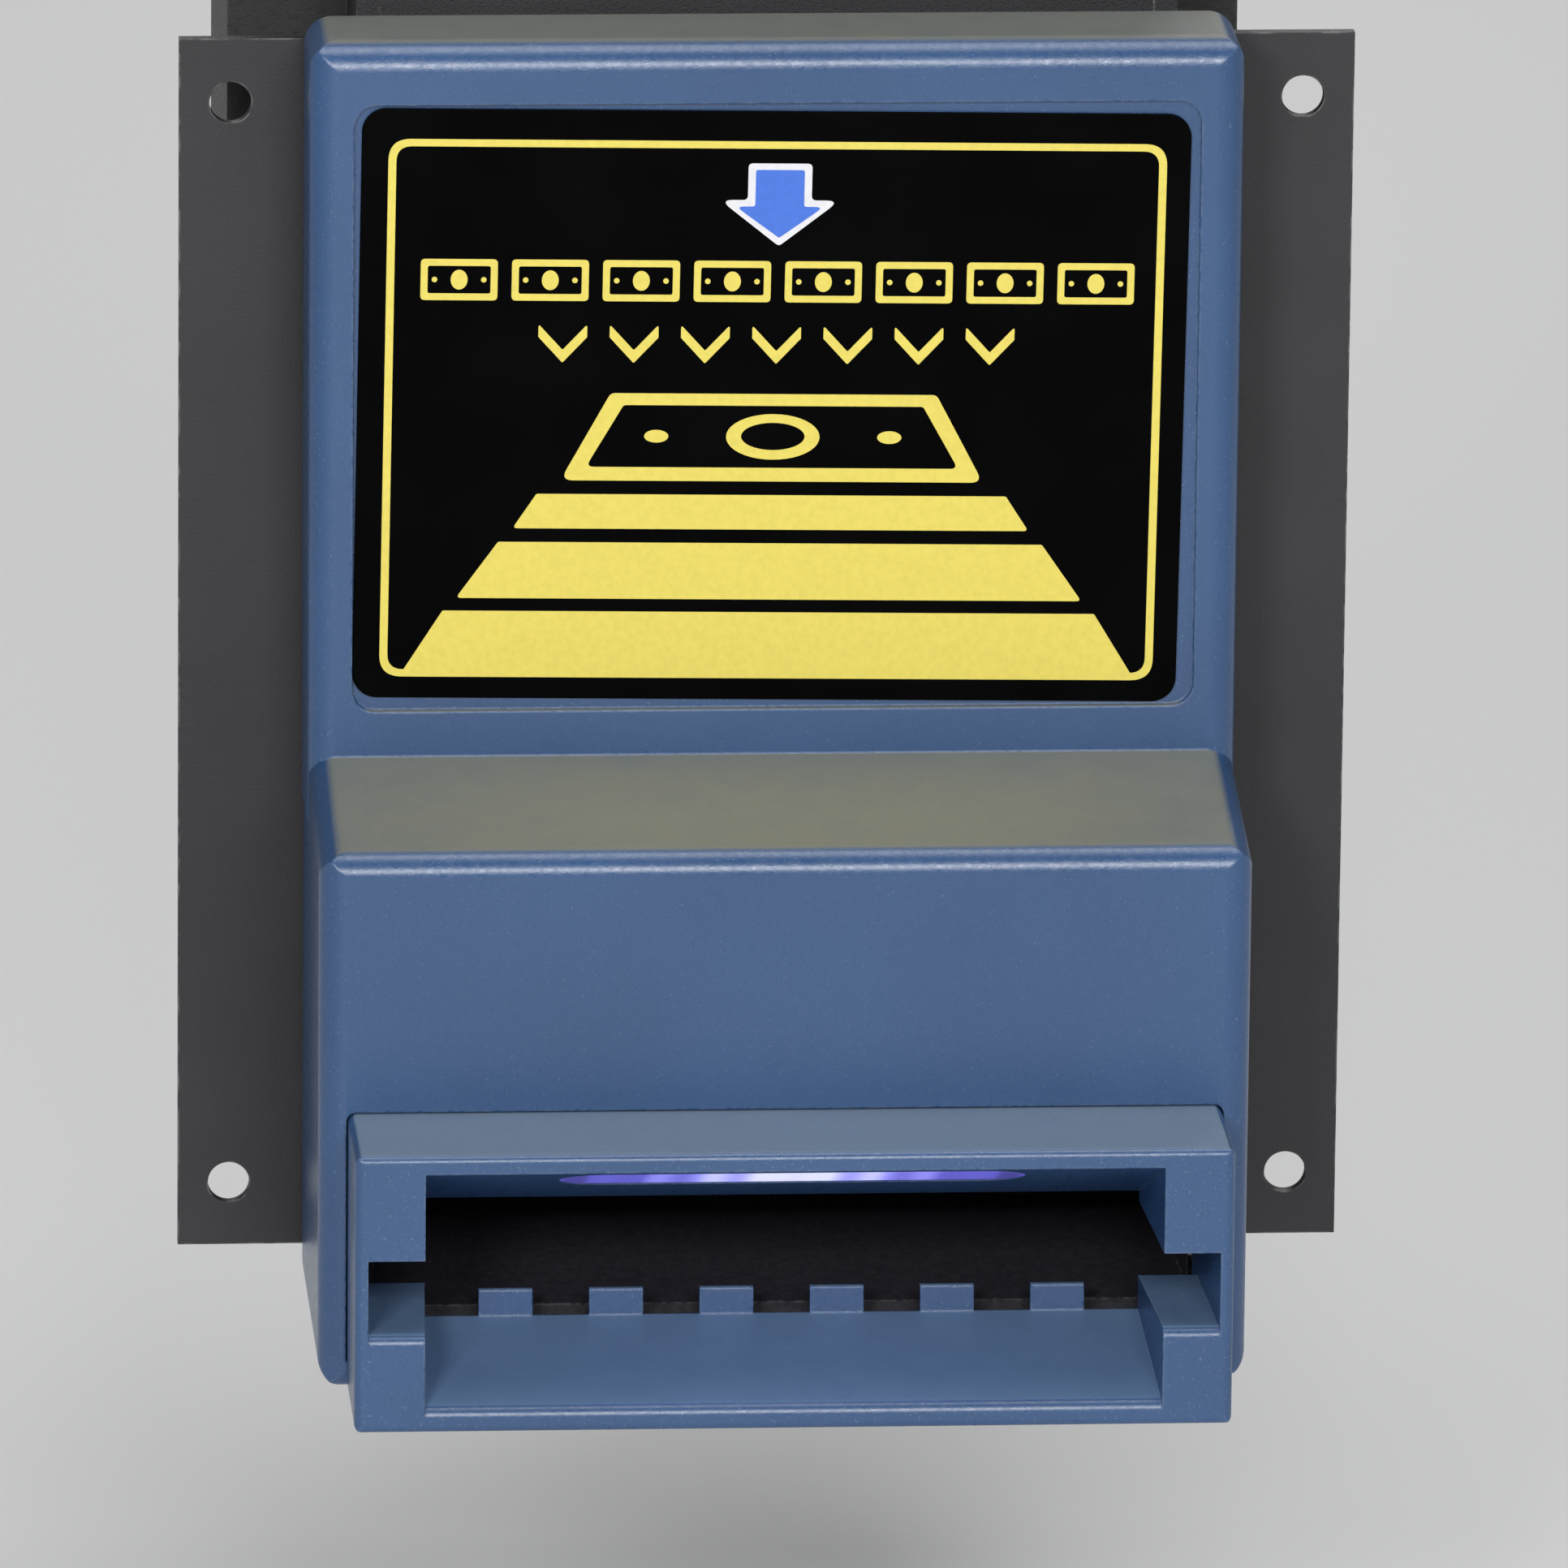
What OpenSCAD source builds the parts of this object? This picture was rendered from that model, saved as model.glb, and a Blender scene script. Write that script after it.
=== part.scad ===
// Door-mounted bill validator with a note path at the bottom and a stacker above it.
// The origin is the centre of the four mounting holes, on the face of the ears that rests
// against the back of the door. The front is -Y, +X is to the right and +Z is up.

/* [Mask] */
// Width of the upper part of the mask
mask_w = 99.6; // [99:0.2:100.4]
// Height of the mask's top edge above the origin
mask_top_z = 70; // [69:0.5:71]
// Height of the mask's bottom edge, below the origin
mask_bottom_z = -71; // [-72:0.5:-71]
// Front of the upper part of the mask
mask_face_y = -16.8; // [-18:0.2:-16]
// Width of the lower block
block_w = 99.2; // [98.8:0.2:99.6]
// Front of the lower block
block_face_y = -41.5; // [-43:0.5:-41]
// Height of the shelf's front edge
shelf_front_z = -12.5; // [-13:0.5:-12]
// Height of the shelf where it meets the upper face
shelf_back_z = -8; // [-8.5:0.5:-7.5]
// Radius along the mask's outer edges
edge_r = 3; // [2:0.5:3]
// Wall thickness of the mask
mask_wall = 2.6; // [2.2:0.1:2.8]

/* [Label] */
// Width of the label plate
label_w = 88.3; // [87.6:0.1:88.6]
// Height of the label plate
label_h = 64.5; // [63.5:0.1:64.7]
// Turn of the label in its recess, in degrees
label_turn = 0.8; // [0:0.1:0.9]
// Depth of the recess that holds the label
recess_d = 0.8; // [0.6:0.1:1]

/* [Inlet] */
// Width of the inlet snout
snout_w = 93.1; // [92.6:0.1:93.2]
// Height of the inlet snout
snout_h = 30.4; // [30:0.1:30.5]
// Front of the inlet snout
snout_face_y = -58; // [-59:0.5:-57]
// Width of the main mouth
mouth_w = 78.2; // [77:0.2:78.4]
// Width across the two side slots
slot_w = 90.3; // [89.7:0.1:90.4]
// Depth of the funnel behind the snout's front
funnel_d = 20; // [19:0.5:20]
// Teeth in the comb at the back of the tray
comb_teeth = 6; // [4:1:6]
// Spacing of the comb's teeth
comb_pitch = 11.8; // [11:0.1:12]

/* [Chassis] */
// Distance between the outer faces of the side plates
chassis_w = 88; // [88:0.5:88.5]
// Thickness of the side plates
plate_t = 2.5; // [2:0.1:2.5]
// Height of the side plates' top edge
chassis_top_z = 150; // [148:1:152]
// Spacing of the mounting holes across the unit
bolt_dx = 115; // [112:1:116]
// Spacing of the mounting holes up the unit
bolt_dz = 120; // [116:1:122]
// Radius of the mounting holes
bolt_r = 2.25; // [2.2:0.05:2.6]

/* [Transport] */
// Radius of the note's path round the front and top pulleys, belt included
small_r = 6; // [5.9:0.1:6.1]
// Radius of the note's path round the rear pulleys, belt included
big_r = 12; // [11.8:0.1:12]
// Belt thickness
belt_t = 0.8; // [0.6:0.1:0.9]
// Module of the transport and stacker gears
gear_m = 0.6; // [0.6:0.1:0.6]

/* [Stacker] */
// Travel of the pusher plate
push_travel = 26; // [20:1:26]
// Module of the racks and their pinions
rack_m = 1; // [1:0.1:1]
// Height of the cash box
box_h = 180; // [176:1:184]
// Depth of the cash box
box_d = 45.5; // [44:0.5:46]

/* [Hidden] */
$fn = 48;

mask_blue = [0.27, 0.37, 0.53];
plastic_black = [0.09, 0.09, 0.1];
plastic_grey = [0.25, 0.26, 0.27];
steel = [0.66, 0.67, 0.68];
board_green = [0.08, 0.3, 0.16];
rubber_black = [0.05, 0.05, 0.05];
acetal_white = [0.88, 0.88, 0.84];
clear_tint = [0.75, 0.8, 0.95, 0.7];

// Planes shared by several pieces
eps = 1;
mask_back_y = -2.5;
recess_y = mask_face_y + recess_d;
label_z = 30.2;
block_inner_x = 46.7;
block_inner_y = block_face_y + 2.5;
snout_bottom_z = mask_bottom_z;
snout_top_z = snout_bottom_z + snout_h;
funnel_y = snout_face_y + funnel_d;
snout_back_y = funnel_y + 4;
slot_floor_z = snout_bottom_z + 10.7;
slot_top_z = snout_top_z - 11.45;
mouth_top_z = snout_top_z - 2;
lip_z = snout_bottom_z + 2.6;
tray_back_z = snout_bottom_z + 7;
ceiling_back_z = snout_top_z - 10.3;
mouth_taper = 0.95;
step_z = snout_bottom_z + 2.6;
snout_gap = 0.15;
tooth_w = 5.75;
tooth_top_z = slot_floor_z - 0.9;
lip_r = 1.4;
rail_r = 1.2;

plate_out = chassis_w / 2;
plate_in = plate_out - plate_t;
wall_y = 2;
wall_back_y = 4;
guide_top_z = -54.8;
guide_bottom_z = -57.2;
door_front_y = 3.5;
door_w = 2 * plate_in - 1.4;
door_floor_z = -69;
door_pin = [56, -66];

pulley_gap = 0.3;
front_shaft = [12, guide_top_z + small_r];
rear_shaft = [52, guide_top_z + big_r];
top_shaft = [58, 140];
pinch_r = 5.2;
pinch_z = guide_top_z - 0.6 - pinch_r;
pinch_ys = [front_shaft[0], 44];
inner_belt_x = 26;
outer_belt_x = 36;
belt_w = 6;

drive_teeth = 40;
second_teeth = 14;
first_teeth = 36;
pinion_teeth = 12;
gear_x = 45;
gear_w = 2;
compound_a = 150;
motor_a = 135;
compound_shaft = rear_shaft + gear_m * (drive_teeth + second_teeth) / 2 * dir(compound_a);
motor_shaft = compound_shaft + gear_m * (first_teeth + pinion_teeth) / 2 * dir(motor_a);
motor_r = 12;

rack_teeth = 12;
rack_r = rack_m * rack_teeth / 2;
pinion_axis = [38, 75];
stacker_teeth = 40;
stacker_a = 225;
stacker_axis = pinion_axis + gear_m * (stacker_teeth + pinion_teeth) / 2 * dir(stacker_a);
rack_x = 14;
rack_w = 6;
rack_len = 49;
frame_back_y = 50;
frame_w = 62;
pusher_y = 57;
pusher_z = [-12, 128];
rod_x = 22;
rod_zs = [20, 115];
rod_r = 2.5;

box_y = 66.5;
box_z = -22;
box_back_y = box_y + box_d;
box_top_z = box_z + box_h;
box_wall = 2;
window_x = 32;
lid_axis = [box_back_y - 2, box_top_z + 3.2];
plate_y = box_y + box_wall + 0.7;

board_x = -46.5;
board_t = 1.6;
board_y = [25, 62];
board_z = [-30, 100];
cover_x = -57;

// Direction of an angle in a plane, as a unit vector
function dir(a) = [cos(a), sin(a)];
// Points along an arc from angle a0 to a1
function arc(c, r, a0, a1, n) = [for (i = [0 : n]) c + r * dir(a0 + (a1 - a0) * i / n)];
// Outline of a belt laid round two circles
function belt_line(c1, r1, c2, r2, n) =
    let (v = c2 - c1, a = atan2(v[1], v[0]), b = acos((r1 - r2) / norm(v)))
    concat(arc(c1, r1, a + b, a + 360 - b, n), arc(c2, r2, a - b, a + b, n));
// Involute angle in degrees at radius r on base circle rb
function inv_deg(rb, r) = r <= rb ? 0 : let (p = acos(rb / r)) tan(p) * 180 / PI - p;
// Half the angle that a tooth covers at radius r
function half_tooth(m, n, r, play) =
    let (rp = m * n / 2, rb = rp * cos(20))
    90 / n - play / rp * 90 / PI + inv_deg(rb, rp) - inv_deg(rb, r);
function gear_radii(m, n) =
    let (rp = m * n / 2) [rp - 1.25 * m, rp - 0.5 * m, rp, rp + 0.5 * m, rp + 0.9 * m];
function gear_line(m, n, play) =
    let (rs = gear_radii(m, n), last = len(rs) - 1)
    [for (i = [0 : n - 1]) each concat(
        [for (k = [0 : last]) rs[k] * dir(360 * i / n - half_tooth(m, n, rs[k], play))],
        [for (k = [last : -1 : 0]) rs[k] * dir(360 * i / n + half_tooth(m, n, rs[k], play))])];

// A box between two corners
module box(x, y, z) {
    translate([x[0], y[0], z[0]]) cube([x[1] - x[0], y[1] - y[0], z[1] - z[0]]);
}
// Extrusions along each axis; the flat shape is drawn in (y, z), (x, z) or (x, y)
module along_x(x0, x1) { translate([x0, 0, 0]) rotate([90, 0, 90]) linear_extrude(x1 - x0) children(); }
module along_y(y0, y1) { translate([0, y1, 0]) rotate([90, 0, 0]) linear_extrude(y1 - y0) children(); }
module along_z(z0, z1) { translate([0, 0, z0]) linear_extrude(z1 - z0) children(); }
// A rod along X through a point given as [y, z]
module rod_x(x0, x1, c, r) { along_x(x0, x1) translate(c) circle(r); }
// A rod along Y through a point given as [x, z]
module rod_y(y0, y1, c, r) { along_y(y0, y1) translate(c) circle(r); }
module both_sides() { children(); mirror([1, 0, 0]) children(); }
// A flat rectangle with round corners
module round_rect(a, b, r) {
    translate([a[0] + r, b[0]]) square([a[1] - a[0] - 2 * r, b[1] - b[0]]);
    translate([a[0], b[0] + r]) square([a[1] - a[0], b[1] - b[0] - 2 * r]);
    for (p = [a[0] + r, a[1] - r], q = [b[0] + r, b[1] - r]) translate([p, q]) circle(r);
}
// A flat slot with half-round ends, centred on the origin
module stadium(l, w) {
    square([l - w, w], center = true);
    for (s = [-1, 1]) translate([s * (l - w) / 2, 0]) circle(w / 2);
}
module gear_2d(m, n, play, bore) {
    difference() { polygon(gear_line(m, n, play)); circle(bore); }
}

// ---- Mask and inlet ----
module mask_upper() {
    low_z = shelf_front_z - edge_r;
    intersection() {
        along_z(low_z, mask_top_z)
            round_rect([-mask_w / 2, mask_w / 2], [mask_face_y, wall_back_y + 10], edge_r);
        along_x(-mask_w / 2, mask_w / 2)
            round_rect([mask_face_y, wall_back_y + 10], [low_z - 10, mask_top_z], edge_r);
        along_y(mask_face_y, mask_back_y)
            round_rect([-mask_w / 2, mask_w / 2], [low_z - 10, mask_top_z], edge_r);
    }
}
shelf_slope = atan((shelf_back_z - shelf_front_z) / (mask_face_y - block_face_y));
// Side outline of the lower block, with its sloping shelf and rounded front edge
module block_side() {
    r = 2.7;
    slope = shelf_slope;
    c = [block_face_y + r, shelf_front_z + r * tan(slope) - r / cos(slope)];
    polygon([[mask_back_y, mask_bottom_z], [block_face_y, mask_bottom_z], [block_face_y, c[1]],
        c + r * dir(90 + slope), [mask_face_y, shelf_back_z], [mask_back_y, shelf_back_z]]);
    translate(c) circle(r);
}
module mask_block() {
    high_z = shelf_back_z + 20;
    intersection() {
        along_x(-block_w / 2, block_w / 2) block_side();
        along_z(mask_bottom_z, high_z)
            round_rect([-block_w / 2, block_w / 2], [block_face_y, 10], edge_r);
        along_y(block_face_y, mask_back_y)
            round_rect([-block_w / 2, block_w / 2], [mask_bottom_z, high_z], edge_r);
        along_x(-block_w / 2, block_w / 2)
            round_rect([block_face_y, 10], [mask_bottom_z, high_z], 2);
        translate([0, mask_face_y, shelf_back_z]) rotate([shelf_slope, 0, 0])
            along_y(-40, 30) round_rect([-block_w / 2, block_w / 2], [-100, 0], edge_r);
    }
}
boss_x = 34;
boss_zs = [60, -28];
module mask_bosses(r) {
    both_sides() {
        rod_y(recess_y + 1, wall_y, [boss_x, boss_zs[0]], r);
        rod_y(block_inner_y - 1, wall_y, [boss_x, boss_zs[1]], r);
    }
}
module bezel_mask() {
    inner_x = mask_w / 2 - mask_wall;
    color(mask_blue) difference() {
        union() {
            difference() {
                union() { mask_upper(); mask_block(); }
                box([-inner_x, inner_x], [recess_y + 2.2, 5], [shelf_front_z - 5, mask_top_z - mask_wall]);
                box([-block_inner_x, block_inner_x], [block_inner_y, 5],
                    [mask_bottom_z + 2.4, shelf_front_z - mask_wall]);
            }
            mask_bosses(3.6);
        }
        along_y(mask_face_y - eps, recess_y)
            round_rect([-45.1, 45.1], [label_z - 33.2, label_z + 33.2], 2.5);
        along_y(block_face_y - eps, block_inner_y + eps)
            round_rect([-block_inner_x, block_inner_x], [step_z - snout_gap, snout_top_z + snout_gap], 1);
        both_sides() for (z = boss_zs) rod_y(-10, 5, [boss_x, z], 1.3);
    }
}
module label_plate() {
    color(plastic_black) translate([-0.5, recess_y, label_z]) rotate([0, label_turn, 0])
        along_y(-0.5, 0) round_rect([-label_w / 2, label_w / 2], [-label_h / 2, label_h / 2], 2.6);
}
// The lamp lens lies in the sloping ceiling of the mouth
ceiling_tilt = atan((mouth_top_z - ceiling_back_z) / funnel_d);
lens_l = 49.5;
lens_wd = 9.4;
module on_ceiling() {
    translate([0, snout_face_y, mouth_top_z]) rotate([-ceiling_tilt, 0, 0])
        translate([0, 1.3 + lens_wd / 2, 0]) children();
}
module led_space() {
    box([-25, 25], [snout_face_y + 9.5, snout_back_y + eps], [snout_top_z - 5, snout_top_z - 2]);
}
tray_slope = atan((tray_back_z - lip_z) / funnel_d);
// Flat outline of the waste in front of a rounded front edge, whose floor rises at slope from [snout_face_y, z]
module front_round(z, slope, r) {
    c = [snout_face_y + r, z + r * tan(slope) - r / cos(slope)];
    difference() {
        translate([snout_face_y - eps, c[1]]) square([eps + r - r * sin(slope), 1.4 * r]);
        translate(c) circle(r);
    }
}
module mouth_space() {
    intersection() {
        along_x(-50, 50) {
            polygon([[snout_face_y - eps, mouth_top_z], [snout_face_y, mouth_top_z],
                [funnel_y, ceiling_back_z], [snout_back_y + eps, ceiling_back_z],
                [snout_back_y + eps, snout_bottom_z + 4.5], [funnel_y, snout_bottom_z + 4.5],
                [funnel_y, tray_back_z], [snout_face_y, lip_z], [snout_face_y - eps, lip_z]]);
            front_round(lip_z, tray_slope, lip_r);
        }
        along_z(snout_bottom_z, snout_top_z) polygon([[-mouth_w / 2, snout_face_y - eps],
            [mouth_w / 2, snout_face_y - eps], [mouth_w / 2, snout_face_y],
            [mouth_w / 2 - mouth_taper, funnel_y], [mouth_w / 2, snout_back_y + eps],
            [-mouth_w / 2, snout_back_y + eps], [mouth_taper - mouth_w / 2, funnel_y],
            [-mouth_w / 2, snout_face_y]]);
    }
}
module slot_space() {
    intersection() {
        along_x(-50, 50) {
            translate([snout_face_y - eps, slot_floor_z])
                square([snout_back_y - snout_face_y + 2 * eps, slot_top_z - slot_floor_z]);
            translate([funnel_y, tray_back_z])
                square([snout_back_y - funnel_y + eps, slot_top_z - tray_back_z]);
            front_round(slot_floor_z, 0, rail_r);
        }
        along_z(snout_bottom_z, snout_top_z) polygon([[-slot_w / 2, snout_face_y - eps],
            [slot_w / 2, snout_face_y - eps], [slot_w / 2 - 0.9, snout_back_y + eps],
            [0.9 - slot_w / 2, snout_back_y + eps]]);
    }
}
module snout_body() {
    x = snout_w / 2;
    intersection() {
        along_y(snout_face_y, snout_back_y) round_rect([-x, x], [snout_bottom_z, snout_top_z], 1);
        along_z(snout_bottom_z, snout_top_z) round_rect([-x, x], [snout_face_y, 0], 1);
        along_x(-x, x) round_rect([snout_face_y, 0], [snout_bottom_z, snout_top_z], 0.8);
    }
}
// Teeth that stand up from the tray's back edge to the level of the side rails
module comb() {
    for (i = [0 : comb_teeth - 1]) translate([(i - (comb_teeth - 1) / 2) * comb_pitch, 0, 0])
        along_x(-tooth_w / 2, tooth_w / 2) polygon([[funnel_y - 0.3, snout_bottom_z + 3],
            [funnel_y - 0.3, tray_back_z + 0.2], [funnel_y, tooth_top_z], [funnel_y + 0.8, tooth_top_z],
            [funnel_y + 1.6, snout_bottom_z + 3]]);
}
module inlet_snout() {
    color(mask_blue) {
        difference() {
            snout_body();
            mouth_space();
            slot_space();
            led_space();
            intersection() {
                on_ceiling() along_z(-2, 8) stadium(lens_l, lens_wd);
                box([-50, 50], [snout_face_y, funnel_y], [snout_bottom_z, snout_top_z - 1.9]);
            }
            box([-50, 50], [block_face_y - 0.3, 0], [mask_bottom_z - eps, step_z]);
        }
        comb();
    }
}
module light_guide() {
    color(clear_tint) intersection() {
        on_ceiling() along_z(0.1, 8) stadium(lens_l, lens_wd);
        box([-50, 50], [snout_face_y, funnel_y], [snout_bottom_z, snout_top_z - 2]);
        box([-50, 50], [snout_face_y, snout_face_y + 9.2], [snout_bottom_z, snout_top_z]);
    }
}
module inlet_led_board() {
    z = snout_top_z - 4.6;
    y = snout_face_y + 11;
    color(board_green) box([-24, 24], [y, snout_back_y - 1], [z, z + 1.2]);
    color(acetal_white) for (i = [-2 : 2])
        box([i * 10 - 1.7, i * 10 + 1.7], [y - 1.2, y + 1.6], [z + 1.2, z + 2.2]);
}
throat_top_z = snout_top_z - 6;
throat_bottom_z = mask_bottom_z + 4.6;
module inlet_throat() {
    narrow_y = -15;
    wide = slot_w / 2 - 0.9;
    narrow = plate_in - 0.2;
    color(plastic_black) {
        difference() {
            box([-plate_out, plate_out], [snout_back_y, wall_y], [throat_bottom_z, throat_top_z]);
            intersection() {
                along_x(-50, 50) polygon([[snout_back_y, tray_back_z], [snout_back_y, ceiling_back_z],
                    [narrow_y, guide_top_z], [wall_y + eps, guide_top_z],
                    [wall_y + eps, guide_bottom_z], [narrow_y, guide_bottom_z]]);
                along_z(throat_bottom_z, throat_top_z) polygon([[-wide, snout_back_y], [wide, snout_back_y],
                    [narrow, narrow_y], [narrow, wall_y + eps], [-narrow, wall_y + eps],
                    [-narrow, narrow_y]]);
            }
        }
        for (i = [0 : comb_teeth])
            box([-2.7, 2.7] + [1, 1] * (i - comb_teeth / 2) * comb_pitch,
                [funnel_y, snout_back_y], [throat_bottom_z, tray_back_z - 1.5]);
    }
}

// ---- Chassis ----
module mounting_ears() {
    color(plastic_black) both_sides() difference() {
        union() {
            box([plate_out, 63], [0, ear_t], [-67, 67]);
            box([plate_out, plate_out + ear_t], [0, 9], [-67, 67]);
        }
        for (c = ear_screws) rod_x(plate_out - eps, plate_out + 3, c, 1.5);
        for (s = [-1, 1]) rod_y(-eps, 3, [bolt_dx / 2, s * bolt_dz / 2], bolt_r);
    }
}
module plate_outline() {
    polygon([[wall_y, mask_bottom_z - 1], [74, mask_bottom_z - 1], [box_back_y, -40],
        [box_back_y, box_z], [box_y - 0.5, box_z], [box_y - 0.5, chassis_top_z],
        [wall_y, chassis_top_z]]);
}
tie_points = [[8, 140], [36, 142], [14, 30], [78, -34], [104, -30]];
ear_screws = [[5.5, 50], [5.5, -50]];
ear_t = 1.5;
tie_r = 2.5;
bush_r = 3.4;
drive_r = 3;
drive_bush_r = 4.4;
shaft_r = 2;
module side_plate() {
    along_x(plate_in, plate_out) difference() {
        plate_outline();
        for (c = [front_shaft, top_shaft, pinion_axis]) translate(c) circle(bush_r);
        translate(rear_shaft) circle(drive_bush_r);
        translate(door_pin) circle(1.5);
        for (c = concat(tie_points, ear_screws)) translate(c) circle(1.5);
        round_rect([12, 44], [96, 130], 4);
        round_rect([12, 30], [-14, 22], 4);
    }
}
module left_side_plate() { color(plastic_black) mirror([1, 0, 0]) side_plate(); }
module right_side_plate() {
    color(plastic_black) difference() {
        side_plate();
        for (c = [motor_shaft, stacker_axis, compound_shaft]) rod_x(plate_in - eps, plate_out + eps, c, 1.5);
    }
}
module front_wall() {
    color(plastic_black) difference() {
        along_y(wall_y, wall_back_y) difference() {
            round_rect([-plate_in, plate_in], [throat_top_z + 0.5, chassis_top_z], 0.5);
            round_rect([-12, 12], [-30, -12], 2);
            round_rect([-20, 20], [84, 118], 3);
        }
        both_sides() for (z = boss_zs) rod_y(0, 6, [boss_x, z], 1.7);
    }
}
module tie_rods() {
    color(steel) for (c = tie_points) rod_x(-plate_in, plate_in, c, tie_r);
}
module top_cover() {
    z = chassis_top_z;
    color(plastic_black) {
        difference() {
            along_z(z, z + 2) round_rect([-plate_out, plate_out], [wall_y, box_y - 0.5], 1);
            for (i = [-3 : 3]) along_z(z - eps, z + 3) translate([i * 9, 30]) rotate(90) stadium(30, 3);
        }
    }
}
// A pan-head screw along -X, with its head's seat at the origin
module screw_x(r, l) {
    difference() {
        union() {
            rod_x(0, 1.8, [0, 0], 2 * r);
            rod_x(-l, 0, [0, 0], r);
        }
        along_x(0.8, 2) for (a = [0, 90]) rotate(a) square([2.6 * r, 0.6], center = true);
    }
}
module chassis_screws() {
    color(steel) {
        both_sides() for (c = tie_points) translate([plate_out, c[0], c[1]]) screw_x(1.45, plate_t);
        both_sides() for (c = ear_screws)
            translate([plate_out + ear_t, c[0], c[1]]) screw_x(1.45, plate_t + ear_t);
        both_sides() for (z = boss_zs)
            translate([boss_x, wall_back_y, z]) rotate([0, 0, 90]) screw_x(1.25, 9);
    }
}

// ---- Note path ----
window_xs = [-14, 14];
window_y = [24, 34];
module window_boxes(z, play) {
    for (x = window_xs)
        box([x - 4 - play, x + 4 + play], [window_y[0] - play, window_y[1] + play], z);
}
module upper_note_guide() {
    z = guide_top_z;
    web_z = [z + 2.3, z + 6.8];
    color(plastic_black) difference() {
        union() {
            difference() {
                box([1 - plate_in, plate_in - 1], [wall_back_y, 39], [z, z + 2.5]);
                both_sides() box([inner_belt_x - 5, inner_belt_x + 5], [wall_back_y + 1.5, 40], [z - eps, z + 3]);
            }
            box([-plate_in, plate_in], [21, 37], web_z);
        }
        window_boxes([z - eps, z + 3], 0);
        box([-6, 6], window_y, [z - eps, z + 4]);
        for (x = window_xs) rod_z(x, 29, z, z + 8, 2.5);
    }
}
module rod_z(x, y, z0, z1, r) { along_z(z0, z1) translate([x, y]) circle(r); }
module upper_sensor_board() {
    z = guide_top_z + 6.8;
    color(board_green) box([-21, 21], [21.5, 36.5], [z, z + 1.6]);
    color(plastic_grey) {
        box([-8, 8], [25, 33], [z + 1.6, z + 4.4]);
        for (x = window_xs) rod_z(x, 29, z - 2.5, z, 2);
    }
}
module upper_sensor_windows() {
    color(clear_tint) window_boxes([guide_top_z, guide_top_z + 3], 0);
}
module magnetic_head() {
    z = guide_top_z;
    color(steel) difference() {
        box([-6, 6], window_y, [z, z + 4]);
        for (x = [-3, 3]) box([x - 0.3, x + 0.3], [23, 35], [z - eps, z + 0.8]);
    }
}
module turn_guide() {
    inner = big_r + 2.2;
    outer = inner + 2;
    c = rear_shaft;
    color(plastic_black) {
        along_x(-plate_in, plate_in) translate(c) intersection() {
            difference() { circle(outer, $fn = 64); circle(inner, $fn = 64); }
            translate([0, -20]) square(20);
        }
        box([-plate_in, plate_in], [c[0] + inner, c[0] + outer], [c[1], box_z - 1]);
    }
}
belt_clear_y = 7.5;
module note_path_door() {
    x = door_w / 2;
    rail = 2;
    top = guide_bottom_z;
    color(plastic_black) difference() {
        union() {
            box([-x, x], [door_front_y, 50], [top - 2, top]);
            both_sides() box([x - rail, x], [door_front_y, 50], [door_floor_z, top - 2]);
            box([rail - x, x - rail], [door_front_y, door_front_y + 2], [door_floor_z, top - 2]);
            box([rail - x, x - rail], [28.5, 30.5], [door_floor_z, top - 5]);
            both_sides() {
                box([x - 4, x], [48, door_pin[0]], [door_floor_z, door_pin[1] + 3]);
                rod_x(x - 4, x, door_pin, 3);
            }
            box([-12, 12], [door_front_y, 30.5], [door_floor_z - 1.5, door_floor_z]);
            both_sides() box([8.6, 12], [door_front_y, 28.5], [door_floor_z, door_floor_z + 3.5]);
        }
        both_sides() for (y = pinch_ys)
            box([inner_belt_x - 4.5, inner_belt_x + 4.5], [y - 6, y + 6], [top - 3, top + eps]);
        window_boxes([top - 3, top + eps], 0);
        for (y = pinch_ys) rod_x(-x - eps, x + eps, [y, pinch_z], 1.05);
        rod_x(-x - eps, x + eps, door_pin, 1.55);
        box([-6.4, 6.4], [door_front_y - eps, door_front_y + 3], [door_floor_z + 0.2, door_floor_z + 3.2]);
        box([-6.4, 6.4], [8, 19], [door_floor_z - 3, door_floor_z + 0.2]);
    }
}
module door_hinge_pin() {
    color(steel) rod_x(-plate_out, plate_out, door_pin, 1.5);
}
module door_release_slide() {
    z = door_floor_z;
    color(mask_blue) {
        box([-6, 6], [door_front_y + 0.3, 12], [z + 0.5, z + 2.9]);
        box([-8.2, 8.2], [12, 18], [z + 0.3, z + 3.2]);
        box([-6, 6], [9.5, 13], [z - 3.6, z + 0.5]);
        rod_y(18, 21, [0, z + 1.75], 0.9);
    }
}
module door_release_spring() {
    z = door_floor_z + 1.75;
    color(steel) along_y(18, 28.5) translate([0, z]) difference() { circle(1.6); circle(1.2); }
}
module lower_sensor_board() {
    z = guide_bottom_z - 2.8;
    color(board_green) box([-20, 20], [19.5, 36.5], [z - 1.4, z]);
    color(plastic_grey) {
        box([-8, 8], [31.5, 36], [z - 3, z - 1.4]);
        box([-18, -10], [21, 25], [z - 3, z - 1.4]);
    }
}
module lower_sensor_windows() {
    color(clear_tint) window_boxes([guide_bottom_z - 2.8, guide_bottom_z], 0);
}
module pinch_rollers(y) {
    color(steel) rod_x(-door_w / 2 - 0.3, door_w / 2 + 0.3, [y, pinch_z], 1);
    color(rubber_black) both_sides()
        along_x(inner_belt_x - 3.5, inner_belt_x + 3.5) translate([y, pinch_z])
            difference() { circle(pinch_r); circle(1); }
}
module front_pinch_rollers() { pinch_rollers(pinch_ys[0]); }
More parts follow.
